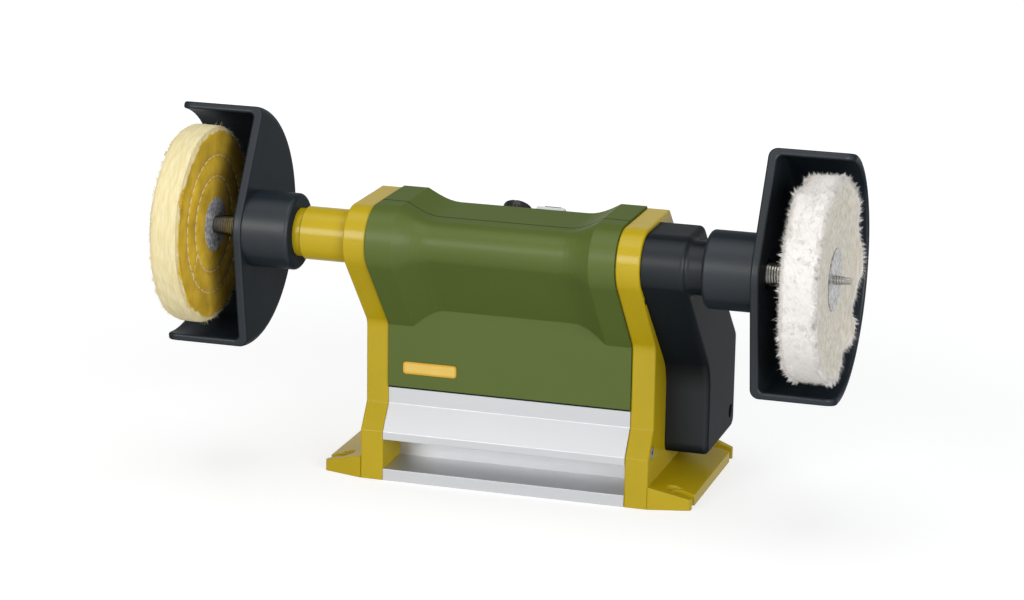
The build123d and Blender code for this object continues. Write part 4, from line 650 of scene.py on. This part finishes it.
# %% Cloth material
def cloth(name, face_tones, rim_tones, border_mm, blend_mm, weave_mm, nap, sheen, face_relief, rim_relief,
          comb_mm):
    """Cloth of a wheel: a face and a fibrous rim, parted by the distance from the spindle.

    nap is how much of the face's weave is hidden by brushed fibres, from none at 0 to all at 1. comb_mm is
    the radius at which the grain would be as long as it is thin: a smaller one draws it out farther.
    """
    material, shader = start_material(name)
    shader.inputs["Roughness"].default_value = 0.95
    shader.inputs["Specular IOR Level"].default_value = 0.15
    shader.inputs["Sheen Weight"].default_value = sheen
    shader.inputs["Sheen Roughness"].default_value = 0.5
    place, reach, combed = wheel_places(material, comb_mm)
    on_rim = rim_share(material, place, reach, border_mm, blend_mm)

    stain = add(material, "ShaderNodeTexNoise", {"Scale": scale_for(12), "Detail": 5.0},
                {"Vector": (place, "Object")})
    blotch = add(material, "ShaderNodeMapRange", {"From Min": 0.25, "From Max": 0.75}, {"Value": (stain, 0)})
    brushed = add(material, "ShaderNodeTexNoise", {"Scale": scale_for(2.5), "Detail": 5.0},
                  {"Vector": (combed, 0)})
    # Darker streaks along the combed nap: partly the nap's own tone, partly painted shade of its creases.
    nap_streaks_and_painted_shade = add(material, "ShaderNodeMapRange", {"From Min": 0.33, "From Max": 0.67},
                  {"Value": (brushed, 0)})
    tone = add(material, "ShaderNodeMix", {0: nap}, {2: (blotch, 0), 3: (nap_streaks_and_painted_shade, 0)}, data_type="FLOAT")
    face = add(material, "ShaderNodeMix", {6: linear(face_tones[0]), 7: linear(face_tones[1])},
               {0: (tone, 0)}, data_type="RGBA")
    fibre = add(material, "ShaderNodeTexNoise", {"Scale": scale_for(1), "Detail": 4.0},
                {"Vector": (combed, 0)})
    strands = add(material, "ShaderNodeMapRange", {"From Min": 0.35, "From Max": 0.65}, {"Value": (fibre, 0)})
    rim = add(material, "ShaderNodeMix", {6: linear(rim_tones[0]), 7: linear(rim_tones[1])},
              {0: (strands, 0)}, data_type="RGBA")
    colour = add(material, "ShaderNodeMix", None, {0: (on_rim, 0), 6: (face, 2), 7: (rim, 2)},
                 data_type="RGBA")

    # A wave texture repeats about every 0.314 units at a scale of 1.
    yarns = {"Scale": 0.314 / (weave_mm * MM), "Distortion": 1.5}
    weft = add(material, "ShaderNodeTexWave", yarns, {"Vector": (place, "Object")}, bands_direction="Y")
    warp = add(material, "ShaderNodeTexWave", yarns, {"Vector": (place, "Object")}, bands_direction="Z")
    weave = add(material, "ShaderNodeMath", None, {0: (weft, "Fac"), 1: (warp, "Fac")}, operation="ADD")
    skin = add(material, "ShaderNodeMix", {0: nap}, {2: (weave, 0), 3: (brushed, 0)}, data_type="FLOAT")
    face_height = add(material, "ShaderNodeMath", {1: face_relief}, {0: (skin, 0)}, operation="MULTIPLY")
    rim_height = add(material, "ShaderNodeMath", {1: rim_relief}, {0: (fibre, 0)}, operation="MULTIPLY")
    height = add(material, "ShaderNodeMix", None, {0: (on_rim, 0), 2: (face_height, 0), 3: (rim_height, 0)},
                 data_type="FLOAT")
    bump = add(material, "ShaderNodeBump", {"Strength": 0.5, "Distance": MM}, {"Height": (height, 0)})
    feed(material, colour, 2, shader, "Base Color")
    feed(material, bump, 0, shader, "Normal")
    return material


# %% Muslin finished
dressed_muslin = cloth("dressed_stitched_muslin", face_tones=("#F6CA38", "#BA9412"),
                       rim_tones=("#F0E3B8", "#E5D49D"), border_mm=46.6, blend_mm=0.8, weave_mm=0.9, nap=0.0,
                       sheen=0.08, face_relief=0.1, rim_relief=0.08, comb_mm=6)
settle(muslin, "muslin_wheel", dressed_muslin, "spindle")
bpy.ops.object.shade_smooth_by_angle(angle=math.radians(50))
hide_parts("left_wheel")

# %% [markdown]
# ## Stitches
# The sewing thread shows as short dashes, each sunk at its ends. One stitch is a small sphere drawn out to
# a dash, and copies of it follow the stitch line on both faces. A curve along the line would be simpler,
# but it would show the thread unbroken.

# %% Way along the stitch line
CROSSING_STEPS = 14

line = []
for degree in range(0, 361):
    line.append((CROSSING_START + math.radians(degree - 360), INNER_TURN))
for step in range(1, CROSSING_STEPS + 1):
    share = step / CROSSING_STEPS
    line.append((CROSSING_START + CROSSING * step / CROSSING_STEPS, crossing_radius(share)))
for degree in range(1, 361):
    line.append((CROSSING_START + CROSSING + math.radians(degree), OUTER_TURN))

walked = [0.0]
for (angle, radius), (next_angle, next_radius) in zip(line, line[1:]):
    walked.append(walked[-1] + (on_wheel(0, radius, angle) - on_wheel(0, next_radius, next_angle)).length)
print("stitch line", round(walked[-1], 3), "m")

# %% Stitches
STITCH_STEP = 0.0050
STITCH_LENGTH = 0.0044
STITCH_THICK = 0.0008
STITCH_SUNK = 0.0002

bpy.ops.object.select_all(action="DESELECT")
bpy.ops.mesh.primitive_uv_sphere_add(segments=8, ring_count=5, radius=0.5, rotation=(0, math.pi / 2, 0))
first_stitch = bpy.context.object
bpy.ops.object.transform_apply(location=False, rotation=True, scale=True)
first_stitch.scale = (STITCH_LENGTH, STITCH_THICK, STITCH_THICK)
bpy.ops.object.transform_apply(location=False, rotation=False, scale=True)

stitches = []
count = int(walked[-1] / STITCH_STEP)
for number in range(count):
    distance = (number + 0.5) * walked[-1] / count
    step = next(index for index, value in enumerate(walked) if value > distance)
    angle, radius = line[step]
    before, after = on_wheel(0, *reversed(line[step - 1])), on_wheel(0, *reversed(line[step]))
    along = (after - before).normalized()
    for way in (-1, 1):
        stitch = first_stitch.copy()
        stitch.data = first_stitch.data.copy()
        scene.collection.objects.link(stitch)
        x = muslin_middle.x + way * (muslin_half - STITCH_SUNK)
        out = Vector((way, 0, 0))
        stitch.matrix_world = set_down(on_wheel(x, radius, angle), along, out.cross(along), out)
        stitches.append(stitch)
bpy.data.objects.remove(first_stitch)
bpy.ops.object.select_all(action="DESELECT")
for stitch in stitches:
    stitch.select_set(True)
bpy.context.view_layer.objects.active = stitches[0]
bpy.ops.object.join()
thread_cotton = surface("twisted_sewing_cotton", "#F0E2B4", "#D8C284", 3, 0.5, 0.1, 0.85)
settle(bpy.context.object, "muslin_stitches", thread_cotton, "spindle")

# %% [markdown]
# ## The cotton wheel
# The right wheel is loose brushed cotton, for the last polish. Nothing sews it outside the discs, so the
# layers spread towards the rim and the edges round off. On the side away from the work they flop outward in
# folds, and the inner edge is worn in one place. Noise alone would put folds and wear anywhere, so both are
# written as tables of degrees by millimetres, and only the rest is noise.

# %% Shape of the cotton rim
COTTON_FLOP = [(0, 3.2), (20, 0.9), (40, 2.3), (67, 0.9), (95, 0.4), (130, 0.0), (220, 0.0), (270, 1.9),
               (287, 1.1), (299, -0.4), (308, 2.8), (316, 3.2), (329, 0.2), (343, 1.4), (353, 3.6),
               (360, 3.2)]
COTTON_WEAR = [(0, 0.0), (62, 0.0), (80, 1.2), (90, 3.2), (97, 4.2), (106, 1.4), (116, -1.4), (126, -0.4),
               (140, 0.0), (153, -0.8), (168, 0.0), (360, 0.0)]
COTTON_RIM_MM = 48.9
COTTON_SHOULDER, COTTON_ROUND_MM = 0.62, 2.4
WEAR_START = 0.1


def at_angle(table, angle):
    """Millimetres from a table of degrees by millimetres, eased between its rows."""
    degrees = math.degrees(angle) % 360
    for (start, low), (end, high) in zip(table, table[1:]):
        if degrees <= end:
            share = (degrees - start) / (end - start)
            return low + (high - low) * share * share * (3 - 2 * share)


def flop_out(angle):
    """How far the loose rim leans outward at that angle, in millimetres."""
    return at_angle(COTTON_FLOP, angle)


def cotton_rim(angle, across):
    """Radius of the rim at that angle and place across it, -1 to 1: ragged, worn and quarter round."""
    ragged = 0.9 * ripple(angle, 16, 1.0, 0.3 * across) + 0.2 * ripple(angle, 60, 4.0, across)
    worn = at_angle(COTTON_WEAR, angle) * max(0.0, WEAR_START - across) / (1 + WEAR_START)
    drop = COTTON_ROUND_MM * (1 - math.sqrt(1 - min(1.0, past(abs(across), COTTON_SHOULDER)) ** 2))
    return (COTTON_RIM_MM + ragged - worn - drop) * MM


# %% Cotton wheel
COTTON_INSETS = [0.6, 0.8, 1.0, 1.2, 1.5, 1.8, 2.0, 2.2, 2.4, 2.4, 2.6, 2.6, 2.8, 2.8, 3.0, 3.0, 3.2]
LOOSE_START = 0.3
SPREAD = 0.2
WRINKLE, FINE_WRINKLE = 0.012, 0.006

cotton, cotton_middle, cotton_half = cloth_slab("right_wheel", 240, COTTON_INSETS, 20)
for vertex in cotton.data.vertices:
    radius, angle = polar(vertex.co)
    across = (vertex.co.x - cotton_middle.x) / cotton_half
    loose = past(radius / WHEEL_RADIUS, LOOSE_START)
    new_radius = radius + (cotton_rim(angle, across) - WHEEL_RADIUS) * loose ** 2
    spread = 1.0 + SPREAD * loose ** 2
    out = 0.0
    if abs(across) > ON_FACE and radius > HUB_RADIUS:
        wrinkle = 0.7 * noise.noise(vertex.co / WRINKLE) + 0.4 * noise.noise(vertex.co / FINE_WRINKLE)
        out = wrinkle * loose * (1 - loose ** 4) * MM
    new_x = cotton_middle.x + (vertex.co.x - cotton_middle.x) * spread + math.copysign(1, across) * out
    vertex.co = on_wheel(new_x + flop_out(angle) * loose ** 3 * MM, new_radius, angle)
# The darker face tone lies in the streaks: partly the nap's own tone, partly painted shade of the creases.
brushed_cotton = cloth("loose_brushed_cotton", face_tones=("#EFE7D8", "#C7BCA8"),
                       rim_tones=("#EFEBE7", "#E9E4E0"), border_mm=46.4, blend_mm=3.0, weave_mm=1.4, nap=0.75,
                       sheen=0.25, face_relief=0.8, rim_relief=0.03, comb_mm=20)
settle(cotton, "cotton_wheel", brushed_cotton, "spindle")
bpy.ops.object.shade_smooth()
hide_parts("right_wheel")

# %% [markdown]
# ## Fray
# Cut cloth sheds its cross threads, so a fringe of fibres stands on both rims: short and sparse on the
# sewn muslin, long and tufted on the loose cotton, where the turning wheel combs it backwards. Thousands of
# hairs are too many to model one by one, and hair particles would be lost in an exported mesh, so they are
# written straight into a mesh. Each hair is a three-sided strand that bends once and thins to a point.

# %% Mesh of hairs
BEND_AT, BEND_THIN = 0.55, 0.75


def fray(name, hairs, thick, material):
    """One piece from all hairs, each given by its root, its way to the tip and its bend."""
    corners = []
    faces = []
    for base, way, bend in hairs:
        side = way.orthogonal().normalized() * thick / 2
        other = way.normalized().cross(side)
        first = len(corners)
        for share, thin in ((0.0, 1.0), (BEND_AT, BEND_THIN)):
            middle = base + way * share + bend * share ** 2
            for third in range(3):
                angle = math.tau * third / 3
                corners.append(middle + (side * math.cos(angle) + other * math.sin(angle)) * thin)
        corners.append(base + way + bend)
        faces.append((first + 2, first + 1, first))
        for third in range(3):
            beside = (third + 1) % 3
            faces.append((first + third, first + beside, first + 3 + beside, first + 3 + third))
            faces.append((first + 3 + third, first + 3 + beside, first + 6))
    mesh = bpy.data.meshes.new(name)
    mesh.from_pydata(corners, [], faces)
    mesh.update()
    piece = bpy.data.objects.new(name, mesh)
    scene.collection.objects.link(piece)
    bpy.ops.object.select_all(action="DESELECT")
    bpy.context.view_layer.objects.active = piece
    piece.select_set(True)
    settle(piece, name, material, "spindle")


# %% Hairs on a rim
ROOT_DEPTH = 0.0006
TUFT_TURN, TUFT_ACROSS = 0.012, 0.08


def hairs_on_rim(middle_x, half, rim, tufts, hairs_each, shortest, longest, inner=0.0, lean_out=None,
                 gather=0.0, comb=0.0):
    """Hairs in tufts at random places of a rim, no nearer to its middle than asked; a tuft shares its lean.

    gather is how far the tips of a tuft draw together, from apart at 0 to one point at 1. comb lays the
    hairs down round the rim: at 1 they lean as far round as they stand out.
    """
    hairs = []
    loose = 1 - gather
    for _ in range(tufts):
        angle = random.uniform(0, math.tau)
        across = random.choice((-1, 1)) * random.uniform(inner, 1)
        lean = random.uniform(-0.5, 0.5)
        splay = 0.7 * across + random.uniform(-0.4, 0.4)
        root = on_wheel(middle_x + across * half + (lean_out(angle) * MM if lean_out else 0.0),
                        rim(angle, across), angle)
        for _ in range(hairs_each):
            at = angle + random.gauss(0, TUFT_TURN)
            place = max(-1.0, min(1.0, across + random.gauss(0, TUFT_ACROSS)))
            x = middle_x + place * half + (lean_out(at) * MM if lean_out else 0.0)
            base = on_wheel(x, rim(at, place) - ROOT_DEPTH, at)
            radial = (on_wheel(0, 1, at) - on_wheel(0, 0, at)).normalized()
            round_way = Vector((1, 0, 0)).cross(radial)
            length = random.uniform(shortest, longest)
            way = radial + round_way * (lean - comb + random.gauss(0, 0.3) * loose)
            way += Vector((splay + random.gauss(0, 0.3) * loose, 0, 0))
            bend = Vector((random.gauss(0, 0.3), 0, 0)) + round_way * random.gauss(0, 0.35)
            hairs.append((base, way.normalized() * length + (root - base) * gather, bend * length * loose))
    return hairs


# %% Fray of the muslin
MUSLIN_HAIR = 0.00013

random.seed(11)
sewn_rim = {"middle_x": muslin_middle.x, "half": muslin_half, "rim": muslin_rim}
short_ends = hairs_on_rim(**sewn_rim, tufts=700, hairs_each=4, shortest=0.0007, longest=0.0018, inner=0.8)
stray_ends = hairs_on_rim(**sewn_rim, tufts=800, hairs_each=1, shortest=0.0005, longest=0.0012)
loose_ends = hairs_on_rim(**sewn_rim, tufts=130, hairs_each=1, shortest=0.0020, longest=0.0040, inner=0.5)
muslin_fibre = surface("cut_muslin_fibre", "#EFE2B8", "#E1D09A", 6, 0.6, 0.02, 0.9, Specular_IOR_Level=0.15)
fray("muslin_fray", short_ends + stray_ends + loose_ends, MUSLIN_HAIR, muslin_fibre)

# %% Nap and fray of the cotton
COTTON_HAIR = 0.00016
HAIR_SPREAD = 1.15

loose_rim = {"middle_x": cotton_middle.x, "half": cotton_half * HAIR_SPREAD, "rim": cotton_rim,
             "lean_out": flop_out}
cotton_fibre = surface("brushed_cotton_fibre", "#EBE7E3", "#E4E0DA", 7, 0.6, 0.02, 0.9,
                       Specular_IOR_Level=0.15)
nap_ends = hairs_on_rim(**loose_rim, tufts=19000, hairs_each=1, shortest=0.0012, longest=0.0025, comb=2.2)
fray("cotton_nap", nap_ends, COTTON_HAIR, cotton_fibre)
long_ends = hairs_on_rim(**loose_rim, tufts=1100, hairs_each=5, shortest=0.0018, longest=0.0034, comb=1.2)
edge_ends = hairs_on_rim(**loose_rim, tufts=3000, hairs_each=3, shortest=0.0012, longest=0.0030, inner=0.8,
                         comb=0.6)
wisp_ends = hairs_on_rim(**loose_rim, tufts=110, hairs_each=26, shortest=0.0018, longest=0.0040, inner=0.85,
                         gather=0.85)
fray("cotton_fray", long_ends + edge_ends + wisp_ends, COTTON_HAIR, cotton_fibre)

# %% [markdown]
# ## Painted shade under the hood
# The hood stands a little proud of the extrusion that carries it, and the joint under its lip lies in shade.
# From the front that shade is the dark line below the green, so a black strip is put in as painted shade.
# Each strip is a bar at its size and place, with its free edge rounded off by a bevel, and the rear one is
# modelled like the front one.

# %% Painted shade strips under the hood
FRONT_Y = -0.0434
HOOD_LIP = 0.0009
SHADE_STRIP_HIGH = 0.0009
SHADE_STRIP_BACK = 0.0002

painted_shade_black = surface("black_painted_shade", "#191A1A", "#101111", 4, 0.5, 0.03, 0.85, Specular_IOR_Level=0.2)
# Black strips that stand in for the shade in the joint under the hood's lip: painted shade.
for name, shell, way in (("front_hood_painted_shade", "front_shell", -1), ("rear_hood_painted_shade", "rear_shell", 1)):
    low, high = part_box(shell)
    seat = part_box("chassis")[1].z
    shade_strip_y = way * (abs(FRONT_Y) - HOOD_LIP / 2 - SHADE_STRIP_BACK)
    strip = bar(((low.x + high.x) / 2, shade_strip_y, seat - SHADE_STRIP_HIGH / 2), (high.x - low.x, HOOD_LIP, SHADE_STRIP_HIGH))
    edit_faces(strip, lambda face: face.normal.y * way > FACING)
    bpy.ops.mesh.bevel(offset=SHADE_STRIP_HIGH / 5, segments=2)
    bpy.ops.object.mode_set(mode="OBJECT")
    settle(strip, name, painted_shade_black, "frame")

# %% [markdown]
# ## Painted shade in the seam
# The hood's two shells meet in a thin seam along the top, which shows as a dark line of shade. A gap alone
# is too narrow to look dark, so a strip of the same black fills it as painted shade. It is a bar, cut across
# at each corner of the shells' upper edge and then lifted corner by corner to that edge, a hair proud of it.

# %% Seam shade strip
SEAM_SHADE_DEEP = 0.0014
SEAM_SHADE_PROUD = 0.00009
CROWN_SHARE = 0.8
SAME_PLACE = 1e-5


def seam_edge(shell, pick):
    """The y of a shell's upper edge along the seam, and the edge's height at each of its corners in x."""
    crown = CROWN_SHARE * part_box(shell)[1].z
    points = [vertex.co for vertex in nodes[shell].data.vertices if vertex.co.z > crown]
    edge_y = pick(point.y for point in points)
    heights = {}
    for point in points:
        if abs(point.y - edge_y) < SAME_PLACE:
            x = round(point.x, 5)
            heights[x] = max(heights.get(x, 0.0), point.z)
    return edge_y, heights


seam_front, seam_heights = seam_edge("front_shell", max)
seam_rear = seam_edge("rear_shell", min)[0]
seam_x = sorted(seam_heights)
# A black strip in the seam that stands in for its shade: painted shade.
seam_shade_strip = bar(((seam_x[0] + seam_x[-1]) / 2, (seam_front + seam_rear) / 2, -SEAM_SHADE_DEEP / 2),
             (seam_x[-1] - seam_x[0], seam_rear - seam_front, SEAM_SHADE_DEEP))
bpy.ops.object.mode_set(mode="EDIT")
cut_across(seam_x[1:-1])
bpy.ops.object.mode_set(mode="OBJECT")
for vertex in seam_shade_strip.data.vertices:
    corner = min(seam_x, key=lambda x: abs(x - vertex.co.x))
    vertex.co.z += seam_heights[corner] + SEAM_SHADE_PROUD
settle(seam_shade_strip, "hood_seam_painted_shade", painted_shade_black, "frame")
print("seam", len(seam_x), "corners along x,", round((seam_rear - seam_front) / MM, 2), "mm wide")

# %% [markdown]
# ## Plate
# A plain plate is glued to the front of the hood, printed in two flat colours and otherwise bare: a thin
# pressed sheet with rounded corners and a raised border. A flat patch of colour in the hood's material
# would do from afar, but the border catches the light.

# %% Blank plate
PLATE_LOW = Vector((-0.0551, 0, 0.0549))
PLATE_HIGH = Vector((-0.0270, 0, 0.0612))
PLATE_THICK = 0.0006
PLATE_GLUED = 0.0001
PLATE_CORNER = 0.0016
PLATE_BORDER = [(0.0002, 0), (0.0005, 0), (0.0001, -0.00015)]
FIELD_SUNK = 0.0001

plate_front = FRONT_Y - PLATE_THICK + PLATE_GLUED
plate_size = PLATE_HIGH - PLATE_LOW
plate_middle = (PLATE_LOW + PLATE_HIGH) / 2
plate_middle.y = plate_front + PLATE_THICK / 2
plate = bar(plate_middle, (plate_size.x, PLATE_THICK, plate_size.z))
bpy.ops.object.mode_set(mode="EDIT")
bpy.ops.mesh.select_mode(type="EDGE")
bpy.ops.mesh.select_all(action="DESELECT")
bpy.ops.object.mode_set(mode="OBJECT")
for edge in plate.data.edges:
    one, two = (plate.data.vertices[index].co for index in edge.vertices)
    edge.select = abs(one.y - two.y) > PLATE_THICK / 2
bpy.ops.object.mode_set(mode="EDIT")
bpy.ops.mesh.bevel(offset=PLATE_CORNER, segments=5)
edit_faces(plate, lambda face: face.normal.y < -FACING)
for thickness, depth in PLATE_BORDER:
    bpy.ops.mesh.inset(thickness=thickness, depth=depth)
bpy.ops.object.mode_set(mode="OBJECT")
border_enamel = surface("printed_golden_enamel", "#E2AC30", "#D29A22", 8, 0.6, 0.01, 0.35)
field_enamel = surface("printed_straw_enamel", "#EAC868", "#E0BA52", 8, 0.6, 0.01, 0.35)
settle(plate, "blank_plate", border_enamel, "frame")
plate.data.materials.append(field_enamel)
for face in plate.data.polygons:
    if face.normal.y < -FACING and face.center.y > plate_front + FIELD_SUNK:
        face.material_index = 1

# %% [markdown]
# ## Knob pointer
# The knob has a white line filled into a groove, so that its setting can be read. Paint in the material
# would need to know how the knob is turned. A thin bar with softened edges, laid into the knob's top along
# the joint's own axes, just rides with it.

# %% Pointer line
KNOB_TOP = 0.0082
POINTER_LENGTH = 0.0054
POINTER_WIDTH = 0.0011
POINTER_DEPTH = 0.0006
POINTER_SOFT = 0.00012
POINTER_START = 0.0008
POINTER_SUNK = 0.0001

knob_joint = joints["speed_knob_turn"]
knob_up = Vector(knob_joint["axis"]).normalized()
knob_right = Vector((1, 0, 0))
knob_back = knob_up.cross(knob_right)
pointer = bar((0, 0, 0), (POINTER_WIDTH, POINTER_LENGTH, POINTER_DEPTH))
edit_faces(pointer, lambda face: face.normal.z > FACING)
bpy.ops.mesh.bevel(offset=POINTER_SOFT, segments=2)
bpy.ops.object.mode_set(mode="OBJECT")
pointer_middle = Vector(knob_joint["pos_m"]) - knob_back * (POINTER_LENGTH / 2 + POINTER_START)
pointer_middle += knob_up * (KNOB_TOP - POINTER_DEPTH / 2 - POINTER_SUNK)
pointer.matrix_world = set_down(pointer_middle, knob_right, knob_back, knob_up)
pointer_paint = surface("white_filled_line", "#F2F2EF", "#E3E3DF", 3, 0.4, 0.01, 0.4)
settle(pointer, "knob_pointer", pointer_paint, "speed_knob")
